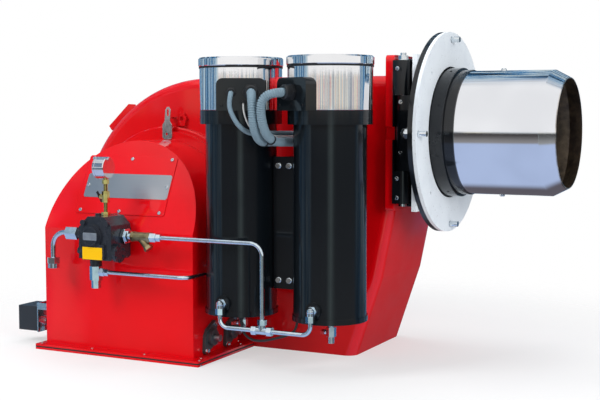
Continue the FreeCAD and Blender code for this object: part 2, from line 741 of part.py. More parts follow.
# Polished sheet covers with a rolled lid over the heating elements' terminals
for side in heaters:
    body = turned("preheater_cover_%s_body" % side, [
        (0, D.cover_r - 1.5), (D.lid_top - D.cover_low - 3, D.cover_r - 1.5), (D.lid_top - D.cover_low - 3, 0),
        (D.lid_top - D.cover_low, 0), (D.lid_top - D.cover_low, D.lid_r - 4),
        (D.lid_top - D.cover_low - 4, D.lid_r), (D.lid_low - D.cover_low + 2, D.lid_r),
        (D.lid_low - D.cover_low, D.lid_r - 1.5), (D.lid_low - D.cover_low, D.cover_r), (0, D.cover_r)],
        (heaters[side], heater_y, D.cover_low), "Z")
    wires = drum("preheater_cover_%s_hole" % side, 20, 60,
                 tuple(cover_spot(side, 0, -60, 108)), "Z")
    wires.Placement = Placement(cover_spot(side, 0, 30 - cover_box.out, 108),
                                Rotation(Vector(0, 0, 1), cover_turn[side]).multiply(
                                    Rotation(Vector(0, 1, 0), 90)))
    wires.Height = 90
    node("preheater_cover_" + side, less("preheater_cover_%s_cut" % side, body, wires))


# Heating elements: a screwed-in flange with three bent heating rods each
def build_elements():
    units = []
    for x in heaters.values():
        flange = rod(D.cover_r, 18.7, (x, heater_y, D.band_low + 19), "Z")
        bars = []
        for i in range(3):
            bar = route([(22, 0, 50), (22, 0, -330), (60, 0, -330), (60, 0, 50)], 15)[0]
            bar = along(bar, 4.2)
            bar.translate(Vector(x, heater_y, 0))
            bar.rotate(Vector(x, heater_y, 0), Vector(0, 0, 1), 20 + 120 * i)
            bars.append(bar)
        bars.append(rod(9, 34, (x, heater_y, 60), "Z"))
        units.append(flange.multiFuse(bars).removeSplitter())
    return Part.makeCompound(units)


feature("heating_elements", build_elements())


# Terminal covers: folded sheet boxes fitted to the round polished covers
def build_terminal(side):
    def shell(inset):
        low = cover_box.low + inset
        high = cover_box.high - inset
        box_ = slab((0, -cover_box.half + inset, low), (cover_box.out - inset, cover_box.half - inset, high))
        edges = [e for e in box_.Edges if abs(e.CenterOfMass.z - high) < 0.1
                 and abs(abs(e.CenterOfMass.y) - cover_box.half + inset) < 0.1]
        return box_.makeFillet(cover_box.round - inset, edges)

    body = shell(0).cut(shell(cover_box.wall))
    body = body.cut([rod(D.cover_r + D.gap, 200, (0, 0, 0), "Z")]
                    + [rod(bore, 40, (cover_box.out - 20, across, z), "X")
                       for across, z, bore in gland_places[side]])
    body.Placement = Placement(Vector(heaters[side], heater_y, 0),
                               Rotation(Vector(0, 0, 1), cover_turn[side]))
    return body


thick_r = 12
thin_r = 6.5
cable_r = 2.3
low_cable_r = 3.5
gland_places = {
    "left": [(-26.5, 110, thin_r + D.gap), (26.5, 110, thick_r + D.gap), (6, 82, cable_r + D.gap)],
    "right": [(0, 110, thick_r + D.gap)],
}
for side in heaters:
    feature("terminal_cover_" + side, build_terminal(side))


# Cable glands: hexagon collars with a domed nut, on the terminal covers and the housing
def gland(bore, at, turn, nut=5, dome=8):
    size = bore * 1.45 + 4
    body = hexagon(size * 1.9, nut, (0, 0, 0), "X").multiFuse([
        rod(size * 0.88, dome, (nut, 0, 0), "X"),
        Part.makeCone(size * 0.88, size * 0.74, 3, Vector(nut + dome, 0, 0), Vector(1, 0, 0))])
    body = body.cut(rod(bore, 60, (-5, 0, 0), "X")).removeSplitter()
    body.Placement = Placement(Vector(*at), turn)
    return body


entries = {"thin": (between_x - 9.5, -4, thin_r), "left": (between_x + 27.5, -26, thick_r),
           "right": (between_x + 77.5, -24, thick_r), "sensor": (between_x + 7.5, 20, cable_r)}
low_glands = [(left_x + 29, heater_y - 55), (right_x - 90, heater_y - 16)]


def build_glands():
    made = []
    for side, places in gland_places.items():
        turn = Rotation(Vector(0, 0, 1), cover_turn[side])
        nut, dome = (8, 15) if side == "right" else (5, 8)
        made += [gland(bore, cover_spot(side, across, 0, z), turn, nut, dome) for across, z, bore in places]
    made += [gland(r + D.gap, (x, front_y, z), TURNS["-Y"]) for x, z, r in entries.values()]
    for x, y in low_glands:
        collar_ = rod(7, 12, (x, y, D.shell_bottom - 12), "Z")
        made.append(collar_.cut(rod(low_cable_r + 2 * D.gap, 20, (x, y, D.shell_bottom - 15), "Z")))
    return Part.makeCompound(made)


feature("cable_glands", build_glands())


# Bracket that carries both preheaters from the housing
web_x = between_x - 1.5
foot_t = 6
bracket_low, bracket_high = -424, -62


def build_bracket():
    t = 6
    front = slab((web_x - 33, lug_y[0] - t, bracket_low), (web_x + 31, lug_y[0], bracket_high))
    web = slab((web_x - t / 2, lug_y[0], bracket_low), (web_x + t / 2, front_y, bracket_high))
    foot = slab((web_x - 37, front_y - foot_t, bracket_low), (web_x + 37, front_y, bracket_high))
    holes = [rod(4.5, 30, (x, lug_y[0] - 20, (z0 + z1) / 2), "Y")
             for x in bracket_x.values() for z0, z1 in lug_z]
    return front.multiFuse([web, foot]).cut(holes).removeSplitter()


feature("preheater_bracket", build_bracket())

# Pump: cast body with a round front cover, a bolted side cover and a mounting boss
pump_top, pump_low = D.fan_z + D.pump_up, D.fan_z - D.pump_down
neck_x = pump_left + 13


def build_pump():
    x0, x1, y = pump_left, pump_right, pump_front
    body = prism([(x0 + a, y, pump_low + b) for a, b in (
        (10, 0), (104, 0), (110, 6), (110, 97), (86, 121), (31, 121), (0, 91), (0, 10))], (0, D.pump_depth, 0))
    cap_at = (x0 + 46, D.fan_z - 3)
    front = rod(33, 6, (cap_at[0], y - 6, cap_at[1]), "Y").multiFuse([
        rod(27, 13, (cap_at[0], y - 13, cap_at[1]), "Y"),
        slab((x0 + 4, y - 6, pump_low + 4), (x0 + 90, y, pump_low + 45))])
    front = front.cut(rod(22, 3, (cap_at[0], y - 14, cap_at[1]), "Y"))
    lobes = [rod(8, 8, (x, y - 8, pump_top - 17), "Y") for x in (x0 + 18, x0 + 97)]
    side_at = (y + 20, pump_low + 20)
    side = rod(26, 11, (x1, side_at[0] + 6, side_at[1]), "X")
    heads = [rod(3.5, 4, (x1 + 11, side_at[0] + 6 + 20 * math.cos(a), side_at[1] + 20 * math.sin(a)), "X")
             for a in (math.radians(60 * i + 30) for i in range(6))]
    port = rod(19, 12, (x1, line_y, feed_z), "X")
    stub = rod(10, 45, (x0, line_y, pump_low + 16), "-X").fuse(rod(14, 12, (x0, line_y, pump_low + 16), "-X"))
    inlet = rod(15, 45, (x0, line_y, feed_z), "-X")
    neck = rod(17, 26, (neck_x, line_y, pump_low), "-Z")
    boss = rod(52, box_front - pump_back, (D.fan_x, pump_back, D.fan_z), "Y")
    plug = hexagon(15, 7, (x0 + 42, y + 35, pump_top), "Z")
    body = body.multiFuse([front, side, port, stub, inlet, neck, boss, plug] + lobes + heads)
    shaft_room = rod(24, box_front - pump_back, (D.fan_x, pump_back, D.fan_z), "Y")
    shaft_bore = rod(7 + D.fit, 60, (D.fan_x, pump_back - 60, D.fan_z), "Y")
    bores = [rod(5, 70, (x0 - 50, line_y, feed_z), "X"),
             rod(5, 60, (x1 + 15, line_y, feed_z), "-X"),
             rod(5, 60, (neck_x, line_y, pump_low - 30), "Z"),
             rod(4, 50, (gauge_x, line_y, pump_top + 1), "-Z")]
    return body.cut([shaft_room, shaft_bore] + bores).removeSplitter()


feature("pump_body", build_pump())

# Line fittings: zinc-plated unions, nuts, tee, elbows and drain cock bodies
pipe_fit = D.pipe_d / 2 + 0.1
suction_x = D.fan_x - 183
suction_end = feed_z - 105
return_x = box_right + 12
strainer = (pump_right + 29, pump_right + 90)


def bored(shape, radius, at, axis, length=400):
    return shape.cut(rod(radius, length, at, axis))


def build_fittings():
    y = line_y
    made = []
    made.append(bored(hexagon(35, 39, (pump_left - 45, y, feed_z), "-X"), D.suction_d / 2 + 0.1,
                      (pump_left - 10, y, feed_z), "-X"))
    union = hexagon(33, 18, (suction_x, y, suction_end + 31), "-Z", 15).fuse(
        rod(16.5, 13, (suction_x, y, suction_end + 13), "-Z"))
    made.append(bored(union, D.suction_d / 2 + 0.1, (suction_x, y, suction_end + 43), "-Z"))
    start = pump_right + 12
    made.append(bored(hexagon(30, 10, (start, y, feed_z), "X").fuse(rod(10, 7, (start + 10, y, feed_z), "X")),
                      5, (start - 5, y, feed_z), "X", 30))
    nut = hexagon(24, 20, (strainer[1], y, feed_z), "X").fuse(
        hexagon(19, 14, (strainer[1] + 20, y, feed_z), "X"))
    made.append(bored(nut, pipe_fit, (strainer[1] - 5, y, feed_z), "X", 60))
    block_ = hexagon(32, 40, (neck_x, y, pump_low - 26), "-Z").multiFuse([
        hexagon(24, 23, (neck_x, y, pump_low - 66), "-Z"), hexagon(22, 16, (neck_x + 15, y, return_z), "X"),
        hexagon(19, 14, (neck_x + 31, y, return_z), "X")])
    made.append(bored(block_, pipe_fit, (neck_x + 20, y, return_z), "X", 40).cut(
        rod(5, 40, (neck_x, y, pump_low - 20), "-Z")))
    tee = rod(10, 36, (tee_x - 18, y, line_z), "X").fuse(rod(10, 18, (tee_x, y, line_z), "Z"))
    for axis in ("X", "-X", "Z"):
        at = Vector(tee_x, y, line_z) + UNIT[axis] * 16
        tee = tee.fuse(hexagon(22, 14, at, axis))
    for axis in ("X", "-X", "Z"):
        tee = bored(tee, pipe_fit, (tee_x, y, line_z), axis, 60)
    made.append(tee)
    for x in heaters.values():
        elbow = rod(10, 18, (x, y, elbow_z - 12), "Z").multiFuse([
            hexagon(22, 16, (x, y, elbow_z - 12), "-Z"),
            rod(10, heater_y - D.shell_r - boss_len - y, (x, y, elbow_z), "Y"),
            hexagon(24, 6, (x, heater_y - D.shell_r - boss_len, elbow_z), "-Y"),
            Part.makeSphere(10.5, Vector(x, y, elbow_z))])
        elbow = bored(elbow, pipe_fit, (x, y, elbow_z), "-Z", 60)
        made.append(bored(elbow, pipe_fit, (x, y, elbow_z), "Y", 60))
    back = heater_y + D.shell_r + 8
    made.append(bored(hexagon(22, 18, (left_x, back, return_z), "Y"), pipe_fit, (left_x, back - 5, return_z), "Y"))
    made.append(bored(rod(9, 12, (right_x, back, return_z), "Y"), 5, (right_x, back - 5, return_z), "Y", 12))
    for x, low in drain_cocks:
        cock = rod(8, 21, (x, heater_y, D.shell_bottom), "-Z").multiFuse([
            hexagon(24, low - 4, (x, heater_y, D.shell_bottom - 21), "-Z"),
            rod(9, 18, (x, heater_y, D.shell_bottom - 17 - low), "-Z")])
        cock = bored(cock, 5, (x, heater_y, D.shell_bottom + 5), "-Z", 100)
        stem_z = D.shell_bottom - 21 - low / 2
        made.append(cock.multiFuse([rod(6, 8, (x - 11, heater_y, stem_z), "-X"),
                                    rod(drain_pin_r, 16, (x - 11, heater_y, stem_z), "-X")]))
    return Part.makeCompound(made)


drain_cocks = [(left_x + 4, 22), (right_x + 4, 30)]
drain_pin_r = 3
feature("line_fittings", build_fittings())


# Strainer: brass body with a leg slanting down
def build_strainer():
    y = line_y
    body = rod(13, strainer[1] - strainer[0], (strainer[0], y, feed_z), "X")
    ends = [hexagon(27, 9, (strainer[0], y, feed_z), "X"), hexagon(27, 9, (strainer[1], y, feed_z), "-X")]
    leg = rod(11, 42, (0, 0, 0), "X").fuse(hexagon(24, 9, (36, 0, 0), "X"))
    leg.Placement = Placement(Vector(strainer[0] + 26, y, feed_z), Rotation(Vector(0, 1, 0), 48))
    return bored(body.multiFuse(ends + [leg]), 5, (strainer[0] - 5, y, feed_z), "X", 120).removeSplitter()


feature("y_strainer", build_strainer())


# Oil pipes: bent steel tube
def build_pipes():
    y = line_y
    feed = pipe([(strainer[1] + 10, y, feed_z), (tee_x, y, feed_z), (tee_x, y, line_z + 20)],
                D.pipe_d, 33)
    branches = [pipe([(tee_x + way * 20, y, line_z), (x, y, line_z), (x, y, elbow_z - 14)], D.pipe_d, 24)
                for x, way in ((left_x, -1), (right_x, 1))]
    back = pipe([(neck_x + 33, y, return_z), (return_x, y, return_z), (return_x, return_y, return_z),
                 (left_x, return_y, return_z), (left_x, heater_y + D.shell_r + 12, return_z)],
                D.pipe_d, 24)
    suction = pipe([(pump_left - 55, y, feed_z), (suction_x, y, feed_z), (suction_x, y, suction_end + 1)],
                   D.suction_d, 42)
    return Part.makeCompound([feed, back, suction] + branches)


feature("oil_pipes", build_pipes())

# Pressure gauge: pressed case, glass, brass stem with a cock, needle and cock lever
gauge_r = D.gauge_d / 2
gauge_left = gauge_x - 24
rim_t = 6
needle_x = gauge_left + 8
case_at = (gauge_left, line_y, gauge_z)
case_body = turned("gauge_case_body", [
    (0, gauge_r - 3), (0, gauge_r), (rim_t, gauge_r), (rim_t, gauge_r - 1), (D.gauge_t - 2, gauge_r - 1),
    (D.gauge_t, gauge_r - 3), (D.gauge_t, 0), (D.gauge_t - 1.5, 0), (D.gauge_t - 1.5, gauge_r - 2.5),
    (14, gauge_r - 2.5), (14, 0), (12.5, 0), (12.5, gauge_r - 2.5), (2, gauge_r - 2.5), (2, gauge_r - 3)],
    case_at, "X")
case_hole = drum("gauge_case_hole", 6.3, 30, (gauge_x, line_y, gauge_z - 40), "Z")
dial_hole = drum("gauge_dial_hole", 2.1, 30, (gauge_left + 5, line_y, gauge_z), "X")
dial_hole.Height = 12
node("gauge_case", less("gauge_case_cut", case_body, case_hole, dial_hole))
node("gauge_glass", turned("gauge_glass_body", [(2, 0), (2, gauge_r - 2.8), (4, gauge_r - 2.8), (4, 0)],
                           case_at, "X"))


def build_stem():
    x, y = gauge_x, line_y
    foot = pump_top
    stem = rod(6, gauge_z - 20 - foot, (x, y, foot), "Z").multiFuse([
        hexagon(22, 9, (x, y, foot), "Z"), hexagon(19, 32, (x, y, cock_z - 16), "Z"),
        rod(8, cock_reach, (x, y, cock_z), "-X"), hexagon(17, 12, (x, y, gauge_z - gauge_r - 14), "Z")])
    spindle_bore = rod(3 + D.fit, cock_reach, (x - 7, y, cock_z), "-X")
    return bored(stem, 2, (x, y, foot - 5), "Z", 120).cut(spindle_bore)


cock_z = pump_top + 52
cock_reach = 18
feature("gauge_stem", build_stem())
needle_rest, cock_rest = 135, 36
needle = prism([(needle_x, line_y - 2.5, gauge_z - 7), (needle_x, line_y + 2.5, gauge_z - 7),
                (needle_x, line_y + 0.5, gauge_z + 22), (needle_x, line_y - 0.5, gauge_z + 22)],
               (1, 0, 0))
needle = needle.fuse(rod(4, 2, (needle_x - 0.5, line_y, gauge_z), "X")).fuse(
    rod(2, 9, (needle_x, line_y, gauge_z), "X"))
needle.rotate(Vector(needle_x, line_y, gauge_z), UNIT["X"], -needle_rest)
feature("gauge_needle", needle)
hub_x = gauge_x - cock_reach - D.gap
handle = slab((hub_x - 5, line_y - 3.5, cock_z - 18), (hub_x - 2, line_y + 3.5, cock_z + 18))
handle.rotate(Vector(gauge_x, line_y, cock_z), UNIT["X"], cock_rest)
feature("gauge_cock_lever", handle.multiFuse([
    rod(3, cock_reach - 5, (gauge_x - 7.5, line_y, cock_z), "-X"), rod(5, 5, (hub_x, line_y, cock_z), "-X")]))

# Drain levers: small red handles on the drain cocks
for (x, low), side, arm in zip(drain_cocks, heaters, (22, 14)):
    z = D.shell_bottom - 21 - low / 2
    hub_x = x - 19 - D.gap
    handle = rod(7, 6, (hub_x, heater_y, z), "-X").fuse(
        slab((hub_x - 6, heater_y - arm, z - 4), (hub_x, heater_y + arm, z + 4)))
    feature("drain_lever_" + side, handle.cut(rod(drain_pin_r + D.fit, 20, (hub_x + 5, heater_y, z), "-X")))

# Cords: conduits and cables along their real routes
S = cover_spot


def entry(name, out):
    """A point in front of a gland on the housing."""
    x, z, r = entries[name]
    return (x, front_y - out, z)


def P(x, y, z):
    """A point measured from the middle between the preheaters."""
    return (between_x + x, heater_y + y, z)


def below(index, drop):
    """A point under one of the low cable's glands."""
    return (*low_glands[index], D.shell_bottom - drop)


cord("conduit_thin", [
    S("left", -26.5, -12, 110), S("left", -26.5, 32, 110), P(-80, -163, 76), P(-71, -162, 50),
    P(-57.5, -152, 22), P(-44, -120, 2), P(-40.5, -74, 2), P(-30.5, -28, 2), P(-23.5, 20, 1),
    P(-17.5, 70, 0), P(-13.5, 118, -2), P(-10.5, 162, -4), entry("thin", 2)], 2 * thin_r)
cord("conduit_left", [
    S("left", 26.5, -12, 110), S("left", 26.5, 36, 110), P(-15, -156, 87), P(-11.5, -160, 48),
    P(-14.5, -146, 12), P(-18, -110, -19), P(-19.5, -62, -21), P(-15.5, -2, -22), P(-6.5, 64, -23),
    P(9.5, 124, -25), entry("left", 48), entry("left", 2)], 2 * thick_r)
cord("conduit_right", [
    S("right", 0, -12, 110), S("right", 0, 50, 110), P(21.5, -164, 96), P(13.5, -164, 66), P(12.5, -150, 25),
    P(10, -120, -6), P(11, -70, -21), P(17.5, -20, -22), P(22.5, 28, -23), P(34.5, 78, -24),
    P(57.5, 130, -24), entry("right", 48), entry("right", 2)], 2 * thick_r)
cord("sensor_cable", [
    S("left", 6, -10, 82), S("left", 6, 28, 82), P(-49, -140, 59), P(-41, -134, 28), P(-34, -114, 9),
    P(-27, -86, 2), P(-16.5, -46, -5), P(-2.5, 0, -8), P(3.5, 50, -8), P(5.5, 100, -6), P(6.5, 142, 8),
    entry("sensor", 44), entry("sensor", 2)], 2 * cable_r)
cord("low_cable", [
    below(0, 3), below(0, 28), P(-93.5, -62, -547), P(-62.5, -69, -560), P(-28.5, -70, -558),
    P(3.5, -58, -550), P(29.5, -36, -543), below(1, 31), below(1, 3)], 2 * low_cable_r)

# Servo motor and the parts that carry it
bearing_len = 22
crank_x = box_left - bearing_len - 10
servo_w = 75
servo = SimpleNamespace(left=crank_x - 28 - servo_w, right=crank_x - 28, front=damper_front - 46,
                        back=damper_front + 39, low=damper_z - 25, high=damper_z + 50)
servo_body = block("servo_case", (servo.left, servo.front, servo.low), (servo.right, servo.back, servo.high))
servo_boss = drum("servo_boss", 18, 6, (servo.left - 6, damper_front, damper_z), "X")
servo_hole = drum("servo_hole", 8, 30, (servo.right - 25, damper_front, damper_z), "X")
node("servo_motor", less("servo_motor_cut", joined("servo_motor_case", servo_body, servo_boss), servo_hole))


def build_zinc():
    t = 4
    arm_z = servo.high - 7
    back = slab((servo.right, servo.front - 6, servo.low - 2), (servo.right + t, servo.back + 6, arm_z + 20))
    back = back.cut(rod(17, 20, (servo.right - 5, damper_front, damper_z), "X"))
    arm_y = (servo.front - 6, servo.back + 2)
    arms = [slab((servo.right, y, arm_z), (box_left, y + t, arm_z + 20)) for y in arm_y]
    feet = [slab((box_left - t, y, arm_z), (box_left, y + 16, arm_z + 20)) for y in arm_y]
    servo_plate = back.multiFuse(arms + feet).removeSplitter()
    y = box_rear - 3
    x = D.fan_x + 14
    low = D.fan_z + D.box_r + 1
    outline = [(-17, 6), (-11, 0), (11, 0), (17, 6), (17, 44), (10, 55), (13, 90), (8, 98), (0, 98),
               (-6, 90), (-9, 55), (-17, 44)]
    hanger = prism([(x + a, y, low + b) for a, b in outline], (0, box_rear - y, 0))
    hanger = hanger.fuse(slab((x - 6, y, low + 65), (x + 10, front_y, low + 68)))
    hanger = hanger.cut([rod(4, 10, (x - 2, y - 5, low + 16), "Y"),
                         slab((x, y - 5, low + 71), (x + 6, box_rear + 5, low + 91))])
    return Part.makeCompound([servo_plate, hanger.removeSplitter()])


feature("zinc_brackets", build_zinc())


# Dampers: flat blades welded to shafts, a crank on each and a link between them
crank_r = 42
shaft_end = box_right + 40


def build_blade(y, left):
    shaft = rod(D.damper_d / 2, shaft_end - left, (left, y, damper_z), "X")
    half = D.blade / 2 - ledge_gap
    blade = slab((box_left + D.box_wall + 2, y - half, damper_z - 1.5),
                 (box_right - D.box_wall - 2, y + half, damper_z + 1.5))
    return shaft.fuse(blade).removeSplitter()


def build_crank(y, low, clearance=D.fit):
    z = damper_z
    high = crank_x + 8
    hub = rod(15, high - low, (low, y, z), "X")
    arm = slab((crank_x, y - 7, z - crank_r), (crank_x + 6, y + 7, z))
    end = rod(8, 6, (crank_x, y, z - crank_r), "X")
    pin = rod(4, 12, (crank_x - 12, y, z - crank_r), "X")
    bore = rod(D.damper_d / 2 + clearance, high - crank_x + 8.5, (crank_x - 8.5, y, z), "X")
    return hub.multiFuse([arm, end, pin]).cut(bore)


feature("damper_blade_front", build_blade(damper_front, crank_x - 8))
rear_blade = build_blade(damper_back, crank_x + 0.5)
feature("damper_blade_rear", rear_blade.fuse(build_crank(damper_back, crank_x, 0)).removeSplitter())
stub = rod(8 - D.fit, 32, (servo.right - 24, damper_front, damper_z), "X")
feature("servo_crank", build_crank(damper_front, crank_x - 22).fuse(stub).removeSplitter())
link_z = damper_z - crank_r
link = slab((crank_x - 6, damper_front, link_z - 5), (crank_x - 2, damper_back, link_z + 5)).multiFuse([
    rod(8, 4, (crank_x - 6, y, link_z), "X") for y in (damper_front, damper_back)])
feature("damper_link", link.cut([rod(4 + D.fit, 20, (crank_x - 10, y, link_z), "X")
                                 for y in (damper_front, damper_back)]).removeSplitter())


# Motor: finned cast frame with end shields, stator, ventilation cowl and fan
motor_y = back_y + D.plate_t
flange_t = 14
shield_t = 26
frame_wall_r = 108
fins = 28
frame_end = motor_y + flange_t + D.motor_len
bearing_y = (motor_y + flange_t + 3, frame_end - 3 - D.bearing_w)
rear_shaft_r = 17.5


def build_motor_frame():
    start = motor_y - 4
    bore = D.bearing_d / 2 + D.fit
    points = [(0, 70), (0, spigot_r), (4, spigot_r), (4, D.motor_flange_r), (4 + flange_t, D.motor_flange_r),
              (4 + flange_t, frame_wall_r), (frame_end - start, frame_wall_r), (frame_end - start, 24),
              (bearing_y[1] + D.bearing_w - start, 24), (bearing_y[1] + D.bearing_w - start, bore),
              (bearing_y[1] - 6 - start, bore), (bearing_y[1] - 6 - start, 98),
              (4 + flange_t + shield_t, 98), (4 + flange_t + shield_t, bore),
              (bearing_y[0] - start, bore), (bearing_y[0] - start, 24), (4, 24), (4, 70)]
    body = turned("motor_frame_body", points, (D.fan_x, start, D.fan_z), "Y")
    doc.recompute()
    shape = body.Shape.copy()
    fin = slab((-1.5, motor_y + flange_t, frame_wall_r - 2), (1.5, frame_end, D.motor_r))
    fin.translate(Vector(D.fan_x, 0, D.fan_z))
    fins_made = around(fin, fins, polar(0, 0), "Y")
    box_y = motor_y + 90
    terminal = slab((D.fan_x - 55, box_y, D.fan_z + 100), (D.fan_x + 55, box_y + 110, D.fan_z + 175))
    terminal = terminal.makeFillet(8, [e for e in terminal.Edges if e.CenterOfMass.z > D.fan_z + 140])
    lid = slab((D.fan_x - 58, box_y - 3, D.fan_z + 160), (D.fan_x + 58, box_y + 113, D.fan_z + 165))
    shape = shape.multiFuse(fins_made + [terminal, lid])
    room = slab((D.fan_x - 48, box_y + 7, D.fan_z + 114), (D.fan_x + 48, box_y + 103, D.fan_z + 168))
    holes = [rod(6.5, 60, polar(motor_bolt_r, 45 + 90 * i, motor_y - 10), "Y") for i in range(4)]
    return shape.cut([room] + holes).removeSplitter()


motor_shape = build_motor_frame()
feature("motor_frame", motor_shape)
node("motor_stator", turned("motor_stator_body", [
    (0, 68), (0, 92), (14, 92), (14, 97.9), (170, 97.9), (170, 92), (184, 92), (184, 68), (170, 68),
    (170, 62), (14, 62), (14, 68)], (D.fan_x, motor_y + 68, D.fan_z), "Y"))
cowl_in = D.motor_r + D.gap
cowl_start = frame_end - 30
cowl_len = 112
cowl_body = turned("motor_cowl_body", [
    (0, cowl_in), (0, cowl_in + 1.5), (cowl_len - 12, cowl_in + 1.5), (cowl_len, cowl_in - 10), (cowl_len, 0),
    (cowl_len - 1.5, 0), (cowl_len - 1.5, cowl_in - 11), (cowl_len - 13, cowl_in)],
    (D.fan_x, cowl_start, D.fan_z), "Y")
grille = []
for ring_index, radius in enumerate((30, 48, 66, 84, 102)):
    count = 8 + 4 * ring_index
    for i in range(count):
        at = polar(radius, 360 * i / count, cowl_start + cowl_len - 20)
        grille.append(drum("grille_%d_%d" % (ring_index, i), 4.5, 40, tuple(at), "Y"))
node("motor_cowl", less("motor_cowl_cut", cowl_body, *grille))
fan_y = frame_end + 14


def build_motor_fan():
    hub = rod(24, 34, polar(0, 0, fan_y), "Y").fuse(rod(62, 3, polar(0, 0, fan_y), "Y"))
    blade = slab((-1.5, fan_y, 20), (1.5, fan_y + 34, 104))
    blade.translate(Vector(D.fan_x, 0, D.fan_z))
    return hub.multiFuse(around(blade, 8, polar(0, 0), "Y")).cut(
        rod(rear_shaft_r + D.fit, 60, polar(0, 0, fan_y - 10), "Y")).removeSplitter()


feature("motor_fan", build_motor_fan())

# Motor shaft with its rotor, the fan wheel on its end and the coupling to the pump
shaft_end_y = motor_y - 80
bearing_r = 20
core = (motor_y + 84, motor_y + 236)
node("motor_shaft", turned("motor_shaft_body", [
    (0, 0), (0, D.shaft_d / 2 - 1), (1, D.shaft_d / 2), (84, D.shaft_d / 2), (84, bearing_r),
    (bearing_y[0] + D.bearing_w - shaft_end_y, bearing_r), (bearing_y[0] + D.bearing_w - shaft_end_y, 24),
    (core[0] - shaft_end_y, 24), (core[0] - shaft_end_y, 61), (core[1] - shaft_end_y, 61),
    (core[1] - shaft_end_y, 24), (bearing_y[1] - shaft_end_y, 24), (bearing_y[1] - shaft_end_y, bearing_r),
    (frame_end + 8 - shaft_end_y, bearing_r), (frame_end + 8 - shaft_end_y, rear_shaft_r),
    (fan_y + 40 - shaft_end_y, rear_shaft_r), (fan_y + 40 - shaft_end_y, 0)],
    (D.fan_x, shaft_end_y, D.fan_z), "Y"))
wheel_back = back_y - 48
wheel_front = wheel_back - D.wheel_w


def build_wheel():
    back = rod(D.wheel_r, 4, polar(0, 0, wheel_back - 4), "Y").fuse(rod(46, 40, polar(0, 0, wheel_back), "Y"))
    front = rod(D.wheel_r, 3, polar(0, 0, wheel_front), "Y").cut(rod(166, 3, polar(0, 0, wheel_front), "Y"))
    points = [polar(D.wheel_r - 1, 0), polar(D.wheel_r - 22, 4.2), polar(172, 5.2), polar(172, 6.2),
              polar(D.wheel_r - 22, 5.2), polar(D.wheel_r - 1, 1)]
    vane = prism(points, (0, D.wheel_w - 2, 0))
    vane.translate(Vector(0, wheel_front + 1, 0))
    wheel = back.multiFuse([front] + around(vane, D.blades, polar(0, 0), "Y"))
    return wheel.cut(rod(D.shaft_d / 2 + D.fit, 80, polar(0, 0, wheel_back - 10), "Y")).removeSplitter()


feature("fan_wheel", build_wheel())
pump_shaft_end = pump_back - 55
coupling_at = pump_back + 3
hub_y = shaft_end_y - 48
node("pump_coupling", turned("pump_coupling_body", [
    (0, 0), (0, 7), (coupling_at - pump_shaft_end, 7), (coupling_at - pump_shaft_end, 20),
    (coupling_at + 34 - pump_shaft_end, 20), (coupling_at + 34 - pump_shaft_end, 10),
    (hub_y - pump_shaft_end, 10), (hub_y - pump_shaft_end, 28), (shaft_end_y - pump_shaft_end, 28),
    (shaft_end_y - pump_shaft_end, 0)], (D.fan_x, pump_shaft_end, D.fan_z), "Y"))


# Bearings: ball bearings of the motor and flanged bearings of the damper shafts
flange_thick = 10


def build_bearings():
    made = []
    for y in bearing_y:
        ring = rod(D.bearing_d / 2, D.bearing_w, polar(0, 0, y), "Y")
        made.append(ring.cut(rod(bearing_r + D.fit, 40, polar(0, 0, y - 5), "Y")))
    for y, z in shafts:
        for x, axis in ((box_right, "X"), (box_left, "-X")):
            body = rod(23, bearing_len, (x, y, z), axis)
            for by, bz in bearing_bolts(y, z):
                body = body.fuse(rod(9, flange_thick, (x, by, bz), axis))
            half, long = 29, math.hypot(*bearing_bolt)
            rhomb = prism([(0, a, b) for a, b in ((long + 4, -8), (long + 4, 8), (10, half), (-10, half),
                                                  (-long - 4, 8), (-long - 4, -8), (-10, -half), (10, -half))],
                          (flange_thick, 0, 0))
            rhomb.rotate(Vector(), Vector(1, 0, 0), math.degrees(math.atan2(bearing_bolt[1], bearing_bolt[0])))
            rhomb.translate(Vector(x if axis == "X" else x - flange_thick, y, z))
            body = body.fuse(rhomb)
            tools = [rod(D.damper_d / 2 + D.fit, 60, (x - 30, y, z), "X")]
            tools += [rod(4.5, 60, (x - 30, *at), "X") for at in bearing_bolts(y, z)]
            made.append(body.cut(tools).removeSplitter())
    return Part.makeCompound(made)


feature("bearings", build_bearings())


# Large bolts: hexagon bolts of the motor, bearings, bracket and intake flange
def build_large_bolts():
    made = [screw(19, 8, 6, 30, polar(motor_bolt_r, 45 + 90 * i, motor_y + flange_t), "Y") for i in range(4)]
    made += [screw(16, 6, 4.5, 14, polar(plate_bolt_r, 22.5 + 45 * i, motor_y), "Y") for i in range(plate_bolts)]
    for y, z in shafts:
        for x, axis, way in ((box_right, "X", 1), (box_left, "-X", -1)):
            made += [screw(13, 5.5, 4, 15, (x + way * flange_thick, *at), axis) for at in bearing_bolts(y, z)]
    for side, x in bracket_x.items():
        for z0, z1 in lug_z:
            made.append(screw(13, 5.5, 4, 20, (x, lug_y[0] - 6, (z0 + z1) / 2), "-Y"))
            made.append(bored(hexagon(13, 6.5, (x, lug_y[1], (z0 + z1) / 2), "Y"), 4.2,
                              (x, lug_y[1] - 5, (z0 + z1) / 2), "Y", 20))
    for x, y in base_bolts:
        made.append(rod(base_head_r, 3.5, (x, y, floor_z + D.gap), "Z").fuse(
            rod(4, D.base_top + 1.5 - D.gap, (x, y, floor_z + D.gap), "Z")))
    return Part.makeCompound(made)


feature("large_bolts", build_large_bolts())

# Hinge leaf on the outlet flange: a strip with a knuckle above and below the head's own knuckle
leaf_t = 3.2
leaf_front, leaf_back = pin_y - D.knuckle_r, pin_y + D.knuckle_r
leaf_start = outlet_x


